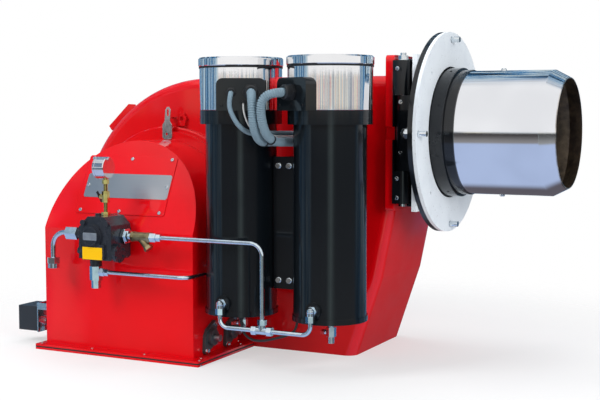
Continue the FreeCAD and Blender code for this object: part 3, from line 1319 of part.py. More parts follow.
def knuckle(low, high, to_x):
    """A knuckle round the hinge pin with a square back to a given X."""
    bar = rod(D.knuckle_r, high - low, (pin_x, pin_y, low), "Z")
    return bar.fuse(slab((min(pin_x, to_x), leaf_front, low), (max(pin_x, to_x), leaf_back, high)))


def build_leaf():
    strip = slab((leaf_start, leaf_front, D.hinge_low), (leaf_start + leaf_t, leaf_back, D.hinge_top))
    strip = strip.cut(slab((leaf_start - 1, leaf_front - 1, -relief_half),
                           (leaf_start + leaf_t + 1, leaf_relief_y, relief_half)))
    ends = [knuckle(D.knuckle_split + D.gap, D.hinge_top, leaf_start),
            knuckle(D.hinge_low, -D.knuckle_split - D.gap, leaf_start)]
    body = strip.multiFuse(ends)
    return body.cut(rod(D.pin_d / 2 + D.fit, 500, (pin_x, pin_y, -250), "Z")).removeSplitter()


feature("hinge_leaf", build_leaf())
pin = rod(D.pin_d / 2, 420, (pin_x, pin_y, D.hinge_low - 6), "Z").multiFuse([
    rod(15, 2.5, (pin_x, pin_y, D.hinge_top), "Z"),
    hexagon(24, 10, (pin_x, pin_y, D.hinge_top + 2.5), "Z"),
    rod(13, 7, (pin_x, pin_y, D.hinge_low - 7), "Z")])
feature("hinge_pin", pin.removeSplitter())


# Firing head: the hinged frame with its knuckle and the hole for the oil inlet
inlet_x = (frame_x + gasket_x) / 2
closing_x = pin_x + 18
frame_far = 205


def build_frame():
    body = slab((frame_x, front_y, -205), (gasket_x, frame_far, 205))
    body = body.makeFillet(5, [e for e in body.Edges if abs(e.tangentAt(e.FirstParameter).x) > 0.9])
    half = D.duct / 2
    body = body.cut(slab((frame_x - 5, -half, -half), (gasket_x + 5, half, half)))
    low, high = -D.knuckle_split + D.gap, D.knuckle_split - D.gap
    back_x = gasket_x - D.gap
    arm = slab((pin_x, leaf_back - 3, low), (back_x, front_y + 3, high))
    body = body.multiFuse([knuckle(low, high, back_x), arm])
    tools = [rod(D.pin_d / 2 + D.fit, 300, (pin_x, pin_y, -150), "Z"),
             rod(10.5, 100, (inlet_x, half - 10, 0), "Y"),
             rod(8.5, 16, (closing_x, leaf_front - 1, 0), "Y")]
    return body.cut(tools).removeSplitter()


feature("head_frame", build_frame())
node("head_gasket", padded("head_gasket_body", [
    rectangle(-D.square / 2, D.square / 2, -D.square / 2, D.square / 2),
    rectangle(-D.duct / 2, D.duct / 2, -D.duct / 2, D.duct / 2)],
    D.head_gasket_t, (gasket_x, 0, 0), Rotation(Vector(0, 1, 0), 90)))
bore = D.tube_od / 2 + D.fit
disc_body = turned("flange_disc_body", [
    (disc_x, bore), (D.band_end, bore), (D.band_end, D.band_od / 2), (D.collar_len, D.band_od / 2),
    (D.collar_len, D.collar_od / 2), (-D.flange_gasket_t, D.collar_od / 2),
    (-D.flange_gasket_t, D.flange_od / 2), (disc_x, D.flange_od / 2)], (0, 0, 0), "X")
gasket_body = turned("flange_gasket_body", [
    (-D.flange_gasket_t, D.collar_od / 2 + 4), (0, D.collar_od / 2 + 4), (0, D.flange_od / 2),
    (-D.flange_gasket_t, D.flange_od / 2)], (0, 0, 0), "X")


def pitch(radius, angle, x):
    a = math.radians(angle)
    return (x, radius * math.cos(a), radius * math.sin(a))


for label, body in (("flange_disc", disc_body), ("flange_gasket", gasket_body)):
    play = 0.5 if label == "flange_disc" else 1.5
    holes = [drum("%s_bolt_%d" % (label, i), D.flange_bolt_d / 2 + play, 60,
                  pitch(bolt_circle / 2, 360 * i / D.flange_bolts, -40), "X")
             for i in range(int(D.flange_bolts))]
    holes += [drum("%s_small_%d" % (label, i), 5, 60, pitch(pilot_circle / 2, 45 + 90 * i, -40), "X")
              for i in range(4)]
    node(label, less(label + "_cut", body, *holes))


stud_out = 24


def build_flange_bolts():
    made = []
    nut = 13
    for i in range(int(D.flange_bolts)):
        at = pitch(bolt_circle / 2, 360 * i / D.flange_bolts, 0)
        stud = rod(D.flange_bolt_d / 2, stud_out + 2, (-2, at[1], at[2]), "X").multiFuse([
            rod(D.flange_bolt_d / 2 - 0.7, nut - disc_x, (disc_x - nut, at[1], at[2]), "X"),
            rod(D.flange_bolt_d / 2, 4, (disc_x - nut - 4, at[1], at[2]), "X")])
        made.append(stud.fuse(hexagon(24, nut, (disc_x, at[1], at[2]), "-X")))
    big = screw(24, 10, 8, 12, (closing_x, leaf_front, 0), "-Y")
    return Part.makeCompound(made + [big])


feature("flange_bolts", build_flange_bolts())
node("blast_tube", turned("blast_tube_body", [
    (disc_x, D.tube_od / 2 - D.tube_wall), (disc_x, D.tube_od / 2), (D.tube_end, D.tube_od / 2),
    (D.tube_tip, D.tube_tip_od / 2), (D.tube_tip, D.tube_tip_od / 2 - D.tube_wall),
    (D.tube_end, D.tube_od / 2 - D.tube_wall)], (0, 0, 0), "X"))

# Diffuser disc with slots, the oil lance with its spider, and the ignition electrodes
lance_r = 12
diffuser = (250, 254)
spider_x = 60
spark = (22, 30)
disc = turned("diffuser_disc_body", [
    (diffuser[0] - 20, lance_r + 0.1), (diffuser[1], lance_r + 0.1), (diffuser[1], 70), (diffuser[1] + 8, 110),
    (diffuser[0] + 8, 110), (diffuser[0], 70), (diffuser[0], 16), (diffuser[0] - 20, 16)], (0, 0, 0), "X")
doc.recompute()
slot = slab((diffuser[0] - 5, -1.6, 52), (diffuser[1] + 20, 1.6, 100))
cut_slots = around(slot, 16, (0, 0, 0), "X", 11.25)
spark_holes = [rod(3, 60, (diffuser[0] - 20, way * spark[0], spark[1]), "X") for way in (-1, 1)]
feature("diffuser_disc", disc.Shape.cut(cut_slots + spark_holes))


def build_lance():
    bar = rod(lance_r, 262 - inlet_x, (inlet_x, 0, 0), "X")
    legs = [slab((spider_x, -9, 0), (spider_x + 4, 9, D.tube_od / 2 - D.tube_wall - 0.6))]
    legs = around(legs[0], 3, (0, 0, 0), "X", 30)
    feed = rod(10, frame_far + 24, (inlet_x, 0, 0), "Y")
    union = hexagon(30, 16, (inlet_x, frame_far + 0.5, 0), "Y")
    tip = hexagon(19, 12, (262, 0, 0), "X").fuse(Part.makeCone(8, 4, 9, Vector(274, 0, 0), Vector(1, 0, 0)))
    body = bar.multiFuse(legs + [feed, union, tip, Part.makeSphere(14, Vector(inlet_x, 0, 0))])
    inner = [rod(5, 330, (inlet_x, 0, 0), "X"), rod(5, frame_far + 30, (inlet_x, 0, 0), "Y")]
    return body.cut(inner).removeSplitter()


feature("oil_lance", build_lance())


def build_electrodes():
    made = []
    for way in (-1, 1):
        y, z = way * spark[0], spark[1]
        wire = route([(80, y, z), (262, y, z), (282, way * 5, z - 14)], 8)[0]
        made.append(rod(6, 140, (95, y, z), "X").fuse(along(wire, 1.5)))
    clamp = slab((150, -30, -16), (160, 30, 40))
    clamp = clamp.cut([rod(lance_r + 0.1, 40, (140, 0, 0), "X")]
                      + [rod(6.1, 40, (140, way * spark[0], spark[1]), "X") for way in (-1, 1)])
    return Part.makeCompound(made + [clamp])


feature("ignition_electrodes", build_electrodes())


# Small screws: panel, nameplate, hinge strip and terminal covers
def build_small_screws():
    made = []
    for x, up in panel_screws:
        made.append(Part.makeCylinder(5, 3, on_face(x, up, panel.t), FACE_OUT).fuse(
            Part.makeCylinder(2.5, panel.t + 10, on_face(x, up, -8), FACE_OUT)))
    for x, up in plate_screws:
        made.append(Part.makeCylinder(4.5, 2.5, on_face(x, up, panel.t + plate.t), FACE_OUT).fuse(
            Part.makeCylinder(2.5, panel.t + 10, on_face(x, up, -8), FACE_OUT)))
    for side in heaters:
        for across in (-52, 52):
            at = cover_spot(side, across, 0, 76)
            out = cover_spot(side, across, 1, 76) - at
            made.append(Part.makeCylinder(4, 2.5, at, out))
    return Part.makeCompound(made)


feature("small_screws", build_small_screws())

# Check every object, then write each named piece to its own file
doc.recompute()
for item in doc.Objects:
    if "Invalid" in item.State or "Error" in item.State:
        raise RuntimeError("%s is %s" % (item.Label, item.State))
for item in PARTS:
    if item.Shape.isNull() or not item.Shape.isValid() or item.Shape.Volume <= 0:
        raise RuntimeError("bad shape in %s" % item.Label)
if len(PARTS) > 60 or len({p.Label for p in PARTS}) != len(PARTS):
    raise RuntimeError("the list of pieces is wrong: %d" % len(PARTS))
for item in PARTS:
    item.Shape.exportStep("parts/%s.step" % item.Label)
    print("%-24s solids %2d volume %10.0f" % (item.Label, len(item.Shape.Solids), item.Shape.Volume))
print("pieces", len(PARTS))
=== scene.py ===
import math

import bmesh
import bpy
from mathutils import Matrix, Vector


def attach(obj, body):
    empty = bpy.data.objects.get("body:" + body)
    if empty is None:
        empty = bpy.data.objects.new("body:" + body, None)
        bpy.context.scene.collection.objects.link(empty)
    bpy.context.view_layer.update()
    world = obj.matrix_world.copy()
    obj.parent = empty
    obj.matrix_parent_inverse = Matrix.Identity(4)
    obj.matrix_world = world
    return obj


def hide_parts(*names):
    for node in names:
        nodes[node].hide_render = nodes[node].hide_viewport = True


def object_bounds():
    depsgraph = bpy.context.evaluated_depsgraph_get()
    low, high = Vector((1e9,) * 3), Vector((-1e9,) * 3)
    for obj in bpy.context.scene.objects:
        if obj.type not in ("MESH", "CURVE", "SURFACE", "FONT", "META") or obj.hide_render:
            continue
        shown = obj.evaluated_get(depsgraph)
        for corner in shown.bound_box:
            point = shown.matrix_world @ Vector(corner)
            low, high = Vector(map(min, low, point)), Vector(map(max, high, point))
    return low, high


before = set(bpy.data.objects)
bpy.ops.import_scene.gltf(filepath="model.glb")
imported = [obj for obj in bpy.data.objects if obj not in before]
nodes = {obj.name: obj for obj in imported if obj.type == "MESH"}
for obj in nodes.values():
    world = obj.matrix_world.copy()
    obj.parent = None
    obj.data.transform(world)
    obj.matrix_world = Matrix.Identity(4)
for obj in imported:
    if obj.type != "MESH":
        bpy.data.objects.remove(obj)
cad_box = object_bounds()

# Camera: a long lens at eye height, looking at the burner from its pump side and
# a little from the flame end, as in the photograph.
camera = bpy.data.objects.new("camera", bpy.data.cameras.new("camera"))
bpy.context.scene.collection.objects.link(camera)
camera.location = (1.0898, -3.1601, 0.0628)
camera.rotation_euler = (math.radians(90 - 4.47), 0, math.radians(26.52))
camera.data.sensor_width = 36
camera.data.lens = 68.77
bpy.context.scene.camera = camera


# Conduits: three corrugated plastic hoses for the heaters' wires, blown in a ribbed mould.
# Each one is pushed into a gland at both ends and hangs between the preheaters.
class Signal:
    """A socket of a shader, so that shader sums read as sums."""

    def __init__(self, shading, socket):
        self.shading, self.socket = shading, socket

    def combined(self, operation, first, second=0.0, clamp=False):
        settings = {"operation": operation, "use_clamp": clamp}
        return self.shading.node("ShaderNodeMath", settings, {0: first, 1: second})

    def __add__(self, other):
        return self.combined("ADD", self, other)

    __radd__ = __add__

    def __sub__(self, other):
        return self.combined("SUBTRACT", self, other)

    def __rsub__(self, other):
        return self.combined("SUBTRACT", other, self)

    def __mul__(self, other):
        return self.combined("MULTIPLY", self, other)

    __rmul__ = __mul__

    def __gt__(self, other):
        return self.combined("GREATER_THAN", self, other)

    def __lt__(self, other):
        return self.combined("LESS_THAN", self, other)

    def clamped(self):
        return self.combined("ADD", self, 0.0, clamp=True)

    def highest(self, other):
        return self.combined("MAXIMUM", self, other)

    def root(self):
        return self.combined("SQRT", self)


class Shading:
    """The nodes of a material or of the surroundings, made one at a time."""

    def __init__(self, tree):
        self.tree = tree

    def node(self, kind, settings, values, output=0):
        made = self.tree.nodes.new(kind)
        for name, value in settings.items():
            setattr(made, name, value)
        for name, value in values.items():
            if isinstance(value, Signal):
                self.tree.links.new(value.socket, made.inputs[name])
            elif value is not None:
                made.inputs[name].default_value = value
        return Signal(self, made.outputs[output])

    def stretched(self, vector, scale):
        return self.node("ShaderNodeMapping", {}, {"Vector": vector, "Scale": scale})

    def noise(self, scale, detail, rough, vector):
        values = {"Vector": vector, "Scale": scale, "Detail": detail, "Roughness": rough}
        return self.node("ShaderNodeTexNoise", {}, values)

    def axis(self, letter, vector):
        return self.node("ShaderNodeSeparateXYZ", {}, {0: vector}, "XYZ".index(letter))

    def between(self, value, low, high, start=0.0, end=1.0):
        settings = {"interpolation_type": "SMOOTHSTEP"}
        limits = {"From Min": low, "From Max": high, "To Min": start, "To Max": end}
        return self.node("ShaderNodeMapRange", settings, {"Value": value, **limits})

    def mix(self, amount, first, second):
        first = first if isinstance(first, Signal) else (*first, 1.0)
        second = second if isinstance(second, Signal) else (*second, 1.0)
        sockets = {0: amount, 6: first, 7: second}
        return self.node("ShaderNodeMix", {"data_type": "RGBA"}, sockets, 2)


class Finish(Shading):
    """A principled material on the piece's own coordinates."""

    def __init__(self, name, color, roughness, metallic=0.0, **fixed):
        self.material = bpy.data.materials.new(name)
        self.material.use_nodes = True
        super().__init__(self.material.node_tree)
        self.shader = self.tree.nodes["Principled BSDF"]
        self.set("Base Color", color)
        self.set("Roughness", roughness)
        self.set("Metallic", metallic)
        for socket, value in fixed.items():
            self.set(socket.replace("_", " ").title().replace("Ior", "IOR"), value)
        self.coords = self.node("ShaderNodeTexCoord", {}, {}, "Object")
        self.soft = None

    def set(self, socket, value):
        if isinstance(value, Signal):
            self.tree.links.new(value.socket, self.shader.inputs[socket])
        elif socket == "Base Color":
            self.shader.inputs[socket].default_value = (*value, 1.0)
        else:
            self.shader.inputs[socket].default_value = value

    def grain(self, scale, detail=2.0, rough=0.5, stretch=None):
        vector = self.stretched(self.coords, stretch) if stretch else self.coords
        return self.noise(scale, detail, rough, vector)

    def edges(self, radius):
        self.soft = self.node("ShaderNodeBevel", {"samples": 6}, {"Radius": radius})
        self.set("Normal", self.soft)

    def bump(self, height, distance, strength=1.0):
        self.soft = self.node("ShaderNodeBump", {}, {
            "Strength": strength, "Distance": distance, "Height": height, "Normal": self.soft})
        self.set("Normal", self.soft)


def moulded(name, color, roughness):
    """Plastic or rubber from a mould: a fine grain and a few rubbed, shinier places."""
    plastic = Finish(name, color, roughness)
    plastic.edges(0.0008)
    rubbed = plastic.grain(25.0, 3.0, 0.6)
    plastic.set("Roughness", plastic.between(rubbed, 0.3, 0.8, roughness - 0.06, roughness + 0.1))
    dust = tuple(c * 0.8 + 0.012 for c in color)
    dusty = plastic.between(rubbed, 0.45, 0.8, 0.0, 0.6)
    plastic.set("Base Color", plastic.mix(dusty, color, dust))
    plastic.bump(plastic.grain(900.0), 0.00008, 0.5)
    return plastic


def centre_line(name, points):
    """One smooth open line through the air, guided by route points in metres."""
    curve = bpy.data.curves.new(name, "CURVE")
    curve.dimensions = "3D"
    curve.resolution_u = 10
    spline = curve.splines.new("NURBS")
    spline.points.add(len(points) - 1)
    for point, place in zip(spline.points, points):
        point.co = (*place, 1.0)
    spline.order_u = 3
    spline.use_endpoint_u = True
    line = bpy.data.objects.new(name, curve)
    bpy.context.scene.collection.objects.link(line)
    return line


def mesh_from(shape, name):
    """Turn a finished bmesh into a mesh and let go of it."""
    mesh = bpy.data.meshes.new(name)
    shape.to_mesh(mesh)
    shape.free()
    return mesh


def only_verts(items):
    return [item for item in items if isinstance(item, bmesh.types.BMVert)]


def in_scene(name, mesh, finish, body):
    """A finished piece: its mesh carries its place, and it rides on a body."""
    mesh.materials.clear()
    mesh.materials.append(finish.material)
    piece = bpy.data.objects.new(name, mesh)
    bpy.context.scene.collection.objects.link(piece)
    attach(piece, body)
    return piece


def ribbed_conduit(name, points, diameter, pitch, finish):
    """A hose with a groove between each two ribs, bent along its route."""
    groove = 0.83
    line = centre_line(name + "_line", points)
    path = [vertex.co.copy() for vertex in bpy.data.meshes.new_from_object(line).vertices]
    real = sum((b - a).length for a, b in zip(path, path[1:]))
    shape = bmesh.new()
    bmesh.ops.create_circle(shape, cap_ends=False, segments=18, radius=diameter / 2,
                            matrix=Matrix.Rotation(math.pi / 2, 4, "Y"))
    ring = shape.edges[:]
    ribs = round(real / pitch)
    for _ in range(ribs):
        for share, size in ((0.40, 1.0), (0.15, groove), (0.30, 1.0), (0.15, 1 / groove)):
            grown = bmesh.ops.extrude_edge_only(shape, edges=ring)["geom"]
            verts = only_verts(grown)
            ring = [item for item in grown
                    if isinstance(item, bmesh.types.BMEdge) and item.is_boundary]
            bmesh.ops.scale(shape, vec=(1, size, size), verts=verts)
            bmesh.ops.translate(shape, vec=(real / ribs * share, 0, 0), verts=verts)
    bmesh.ops.recalc_face_normals(shape, faces=shape.faces)
    straight = bpy.data.objects.new(name + "_straight", mesh_from(shape, name + "_straight"))
    bpy.context.scene.collection.objects.link(straight)
    bend = straight.modifiers.new("bend", "CURVE")
    bend.object = line
    ready = straight.evaluated_get(bpy.context.evaluated_depsgraph_get())
    bent = bpy.data.meshes.new_from_object(ready)
    bpy.data.objects.remove(straight)
    bpy.data.objects.remove(line)
    for face in bent.polygons:
        face.use_smooth = True
    hose = in_scene(name + "_hose", bent, finish, "burner")
    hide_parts(name)


grey_conduit = moulded("grey_conduit", (0.20, 0.29, 0.35), 0.5)
thin_route = [
    (-0.4361, -0.5123, 0.110), (-0.4146, -0.5506, 0.110), (-0.4135, -0.563, 0.076),
    (-0.4045, -0.562, 0.050), (-0.391, -0.552, 0.022), (-0.3775, -0.520, 0.002),
    (-0.374, -0.474, 0.002), (-0.364, -0.428, 0.002), (-0.357, -0.380, 0.001),
    (-0.351, -0.330, 0.0), (-0.347, -0.282, -0.002), (-0.344, -0.238, -0.004),
    (-0.343, -0.180, -0.004)]
left_route = [
    (-0.390, -0.4863, 0.110), (-0.3664, -0.5281, 0.110), (-0.3485, -0.556, 0.087),
    (-0.345, -0.560, 0.048), (-0.348, -0.546, 0.012), (-0.3515, -0.510, -0.019),
    (-0.353, -0.462, -0.021), (-0.349, -0.402, -0.022), (-0.340, -0.336, -0.023),
    (-0.324, -0.276, -0.025), (-0.306, -0.226, -0.026), (-0.306, -0.180, -0.026)]
right_route = [
    (-0.2526, -0.5001, 0.110), (-0.2822, -0.5545, 0.110), (-0.312, -0.564, 0.096),
    (-0.320, -0.564, 0.066), (-0.321, -0.550, 0.025), (-0.3235, -0.520, -0.006),
    (-0.3225, -0.470, -0.021), (-0.316, -0.420, -0.022), (-0.311, -0.372, -0.023),
    (-0.299, -0.322, -0.024), (-0.276, -0.270, -0.024), (-0.256, -0.226, -0.024),
    (-0.256, -0.180, -0.024)]
ribbed_conduit("conduit_thin", thin_route, 0.013, 0.0036, grey_conduit)
ribbed_conduit("conduit_left", left_route, 0.024, 0.0056, grey_conduit)
ribbed_conduit("conduit_right", right_route, 0.024, 0.0056, grey_conduit)


# Cables: the white lead of the temperature sensor and the black lead under the preheaters,
# both with a smooth round sheath.
def smooth_cable(name, points, diameter, finish):
    """A round lead that keeps to its route."""
    cable = centre_line(name + "_lead", points)
    cable.data.bevel_depth = diameter / 2
    cable.data.bevel_resolution = 4
    cable.data.use_fill_caps = True
    cable.data.materials.append(finish.material)
    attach(cable, "burner")
    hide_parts(name)


white_cable = moulded("white_cable", (0.72, 0.72, 0.70), 0.4)
black_cable = moulded("black_cable", (0.015, 0.015, 0.015), 0.45)
smooth_cable("sensor_cable", [
    (-0.4068, -0.4981, 0.082), (-0.3882, -0.5312, 0.082), (-0.3825, -0.540, 0.059),
    (-0.3745, -0.534, 0.028), (-0.3675, -0.514, 0.009), (-0.3605, -0.486, 0.002),
    (-0.350, -0.446, -0.005), (-0.336, -0.400, -0.008), (-0.330, -0.350, -0.008),
    (-0.328, -0.300, -0.006), (-0.327, -0.258, 0.008), (-0.326, -0.222, 0.020),
    (-0.326, -0.180, 0.020)], 0.0046, white_cable)
smooth_cable("low_cable", [
    (-0.440, -0.455, -0.499), (-0.440, -0.455, -0.524), (-0.427, -0.462, -0.547),
    (-0.396, -0.469, -0.560), (-0.362, -0.470, -0.558), (-0.330, -0.458, -0.550),
    (-0.304, -0.436, -0.543), (-0.288, -0.416, -0.527), (-0.288, -0.416, -0.499)],
    0.007, black_cable)


# Cable ties: narrow moulded bands of black nylon.
# One is pulled tight round each of the two thick conduits.
def bands(name, places, radius, segments, thickness):
    """Round bands: at each place a circle is drawn out along its travel, then made thick."""
    shape = bmesh.new()
    for place, travel in places:
        loop = bmesh.ops.create_circle(shape, cap_ends=False, segments=segments, radius=radius,
                                       matrix=place)["verts"]
        ring = [edge for edge in shape.edges if edge.verts[0] in loop]
        grown = bmesh.ops.extrude_edge_only(shape, edges=ring)["geom"]
        bmesh.ops.translate(shape, vec=travel, verts=only_verts(grown))
    bmesh.ops.recalc_face_normals(shape, faces=shape.faces)
    bmesh.ops.solidify(shape, geom=shape.faces[:], thickness=-thickness)
    return mesh_from(shape, name)


tie_width = 0.0045
places = []
for centre, along in (((-0.3525, -0.486, -0.0203), (-0.02, 1, -0.05)),
                      ((-0.3232, -0.5005, -0.0135), (0.02, 1, -0.35))):
    turn = Vector(along).to_track_quat("Z", "Y").to_matrix().to_4x4()
    places.append((Matrix.Translation(centre) @ turn, Vector(along).normalized() * tie_width))
tie_nylon = moulded("tie_nylon", (0.012, 0.012, 0.014), 0.4)
in_scene("conduit_ties", bands("conduit_ties", places, 0.0126, 32, 0.0012), tie_nylon,
         "burner")


# Scroll housing with its motor plate: welded steel sheet, sprayed red and baked. The paint has
# a fine orange peel, soft edges and a little dust.
def dress(finish, *names):
    """Give a finish to nodes whose own shape is kept."""
    for name in names:
        data = nodes[name].data
        data.materials.clear()
        data.materials.append(finish.material)


def powder_coat(name, color, dark, edge=0.003, coat=0.9, blur=0.04):
    """Baked paint: colour under a clear, hard gloss that shows its surroundings."""
    roughness = 0.35
    paint = Finish(name, color, roughness, coat_roughness=blur, specular_ior_level=0.1)
    paint.edges(edge)
    cloud = paint.grain(2.2, 3.0, 0.55)
    paint.set("Base Color", paint.mix(paint.between(cloud, 0.35, 0.75), color, dark))
    smudge = paint.grain(9.0, 4.0, 0.6)
    paint.set("Roughness", paint.between(smudge, 0.35, 0.8, roughness, roughness + 0.12))
    paint.set("Coat Weight", paint.between(smudge, 0.3, 0.8, coat, coat * 0.75))
    paint.bump(paint.grain(12.0, 2.0, 0.5), 0.0004, 0.12)
    paint.bump(paint.grain(420.0), 0.00003, 0.15)
    return paint


red_paint = powder_coat("red_paint", (0.76, 0.0005, 0.005), (0.66, 0.0005, 0.003))
dress(red_paint, "scroll_housing", "motor_plate")

# Inlet ring and intake box: a turned ring and a folded, welded sheet box under the same red
# paint, bolted to the red counter frame with a black gasket between.
dress(red_paint, "inlet_ring", "intake_box", "base_frame")
dark_gasket = moulded("dark_gasket", (0.02, 0.02, 0.02), 0.8)
dress(dark_gasket, "base_gasket")

# Access panel and nameplate: a red sheet lid and a bare brushed aluminium plate, held by
# small round zinc-plated screws on the leaning face of the intake box.
dress(red_paint, "access_panel")
plate_metal = Finish("plate_metal", (0.55, 0.57, 0.60), 0.34, 1.0)
plate_metal.edges(0.0004)
brushed = plate_metal.grain(1.0, 3.0, 0.6, (14.0, 900.0, 900.0))
plate_metal.set("Roughness", plate_metal.between(brushed, 0.3, 0.75, 0.28, 0.5))
# Painted reflection: the plate is drawn darker and bluer at its left end and lighter towards its
# right end.
painted_reflection = plate_metal.between(plate_metal.axis("X", plate_metal.coords), -0.99, -0.70)
plate_metal.set("Base Color", plate_metal.mix(painted_reflection, (0.38, 0.43, 0.48), (0.60, 0.61, 0.63)))
plate_metal.bump(brushed, 0.00004, 0.6)
dress(plate_metal, "nameplate")


# Small screws: turned steel with round, slotted heads, zinc-plated.
# They hold the access panel and the nameplate.
def plated(name, color, tint, roughness=0.1):
    """Zinc plating and other bright metal: a cloudy tint, fine pits and soft edges."""
    metal = Finish(name, color, roughness, 1.0)
    metal.edges(0.0006)
    cloud = metal.grain(60.0, 3.0, 0.6)
    metal.set("Base Color", metal.mix(metal.between(cloud, 0.35, 0.7), color, tint))
    pits = metal.grain(140.0, 3.0, 0.6)
    metal.set("Roughness", metal.between(pits, 0.3, 0.8, roughness, roughness * 1.5))
    metal.bump(metal.grain(90.0), 0.00006, 0.08)
    return metal


def slotted_head(radius, height):
    """A round screw head on the origin, with a rounded rim and a slot across the top."""
    head = bmesh.new()
    bmesh.ops.create_cone(head, cap_ends=True, segments=20, radius1=radius, radius2=radius,
                          depth=height, matrix=Matrix.Translation((0, 0, height / 2)))
    rim = [edge for edge in head.edges if min(vert.co.z for vert in edge.verts) > height * 0.9]
    bmesh.ops.bevel(head, geom=rim, offset=height * 0.45, offset_type="OFFSET", segments=3,
                    profile=0.5, affect="EDGES", material=-1)

    def tops():
        return [face for face in head.faces if face.calc_center_median().z > height * 0.99]

    slot_half = radius * 0.18
    for side in (-slot_half, slot_half):
        parts = dict.fromkeys(item for face in tops() for item in (face, *face.edges, *face.verts))
        bmesh.ops.bisect_plane(head, geom=list(parts), dist=1e-7, plane_co=(0, side, 0),
                               plane_no=(0, 1, 0))
    slot = min(tops(), key=lambda face: abs(face.calc_center_median().y))
    sunk = bmesh.ops.extrude_face_region(head, geom=[slot, *slot.edges])["geom"]
    bmesh.ops.translate(head, vec=(0, 0, -height * 0.4), verts=only_verts(sunk))
    return mesh_from(head, "screw_head")


def screws(name, head, places, finish, body):
    """The same head at each place, facing its way and turned as its thread happened to stop."""
    pressed_in = 0.0002
    shape = bmesh.new()
    for number, (at, out) in enumerate(places):
        known = len(shape.verts)
        shape.from_mesh(head)
        shape.verts.ensure_lookup_table()
        out = Vector(out)
        facing = out.to_track_quat("Z", "Y").to_matrix().to_4x4()
        stop = Matrix.Rotation(1.9 * number + 0.5, 4, "Z")
        seat = Matrix.Translation(Vector(at) - out * pressed_in)
        bmesh.ops.transform(shape, matrix=seat @ facing @ stop, verts=shape.verts[known:])
    return in_scene(name, mesh_from(shape, name), finish, body)


zinc = plated("zinc", (0.82, 0.86, 0.88), (0.68, 0.73, 0.76))
lean = math.radians(26)
face_out = Vector((0, -math.cos(lean), math.sin(lean)))
face_up = Vector((0, math.sin(lean), math.cos(lean)))
fold = Vector((0, -0.465, -0.283))
places = [(Vector((x, 0, 0)) + fold + face_up * up + face_out * 0.002, face_out)
          for up in (0.060, 0.225) for x in (-0.989, -0.8515, -0.714)]
on_plate = fold + face_up * 0.139 + face_out * 0.003
places += [(Vector((x, 0, 0)) + on_plate, face_out) for x in (-0.983, -0.709)]
round_screws = screws("round_screws", slotted_head(0.0055, 0.0032), places, zinc, "burner")
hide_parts("small_screws")

# Hinge: a welded leaf under gloss black paint, screwed to the housing with slotted screws,
# and a zinc-plated steel pin.
black_paint = powder_coat("black_paint", (0.004, 0.006, 0.008), (0.002, 0.003, 0.005), 0.0015,
                          blur=0.08)
dress(black_paint, "hinge_leaf")
dress(zinc, "hinge_pin")
hinge_head = slotted_head(0.006, 0.003)
places = [((-0.0775, -0.225, z), (0, -1, 0)) for z in (0.177, -0.124, -0.177)]
screws("leaf_screws", hinge_head, places, zinc, "burner")
flush_head = slotted_head(0.006, 0.0004)
places = [((-0.068, -0.2248, z), (0, -1, 0)) for z in (0.086, -0.054)]
screws("knuckle_screws", flush_head, places, zinc, "head")

# Firing head: the black hinged frame and the round black flange with its turned collar,
# held to the boiler by zinc-plated studs.
dress(black_paint, "head_frame", "flange_disc")
dress(zinc, "flange_bolts")
collar_radius = 0.1838
outward = [(math.cos(math.radians(a)), math.sin(math.radians(a))) for a in range(20, 380, 45)]
places = [((0.020, collar_radius * y, collar_radius * z), (0, y, z)) for y, z in outward]
screws("collar_screws", slotted_head(0.0036, 0.0016), places, black_paint, "head")

# Ceramic fibre gaskets: pressed white board, matt, with short fibres and small marks. They
# are clamped between the flanges.
board = Finish("white_board", (0.86, 0.91, 0.95), 0.85, specular_ior_level=0.2)
board.edges(0.0008)
marks = board.grain(14.0, 4.0, 0.6)
specks = board.between(board.grain(160.0, 2.0, 0.6), 0.68, 0.72)
fibre = board.mix(board.between(marks, 0.4, 0.8), (0.86, 0.91, 0.95), (0.78, 0.83, 0.88))
board.set("Base Color", board.mix(specks, fibre, (0.42, 0.42, 0.42)))
board.bump(board.grain(300.0, 5.0, 0.7), 0.0004, 0.5)
dress(board, "head_gasket", "flange_gasket")


# Blast tube: rolled and welded stainless sheet, buffed along its length, with a narrowed mouth
# that the flame has tinted, and the screws that hold the parts inside.
def polished(name, color, dull, lines, smooth, rough, wave):
    """Buffed stainless steel. Its own tone and roughness come back too, to be added to."""
    metal = Finish(name, color, smooth, 1.0)
    metal.edges(0.0012)
    fine = metal.grain(1.0, 3.0, 0.6, lines)
    buffed = metal.between(fine, 0.3, 0.75, smooth, rough)
    metal.set("Roughness", buffed)
    tone = metal.mix(metal.between(metal.grain(5.0), 0.3, 0.7), color, dull)
    metal.set("Base Color", tone)
    metal.bump(metal.grain(6.0, 1.0, 0.4), wave, 0.25)
    metal.bump(fine, 0.00002, 0.03)
    return metal, tone, buffed


tube_steel, clean, buffed = polished("tube_steel", (0.86, 0.87, 0.90), (0.76, 0.77, 0.80),
                                     (6.0, 320.0, 320.0), 0.05, 0.12, 0.0006)
wall_radius, tube_outside, cone_from, cone_slope = 0.1738, 0.1749, 0.302, 0.524
along, across, upward = (tube_steel.axis(letter, tube_steel.coords) for letter in "XYZ")
radius = (across * across + upward * upward).root()
inner = (radius < wall_radius) * ((radius + (along - cone_from) * cone_slope) < wall_radius)
soot = tube_steel.between(tube_steel.grain(30.0, 3.0, 0.6), 0.3, 0.7)
lip = tube_steel.between(along, 0.3395, 0.3425) * tube_steel.between(soot, 0.0, 1.0, 0.5, 1.0)
tinted = tube_steel.mix(soot, (0.55, 0.44, 0.32), (0.26, 0.22, 0.19))
tube_steel.set("Base Color", tube_steel.mix(inner.highest(lip), clean, tinted))
tube_steel.set("Roughness", buffed + inner * 0.35)
dress(tube_steel, "blast_tube")
places = [((0.1545, 0, tube_outside * way), (0, 0, way)) for way in (-1, 1)]
screws("tube_screws", slotted_head(0.0075, 0.006), places, zinc, "head")

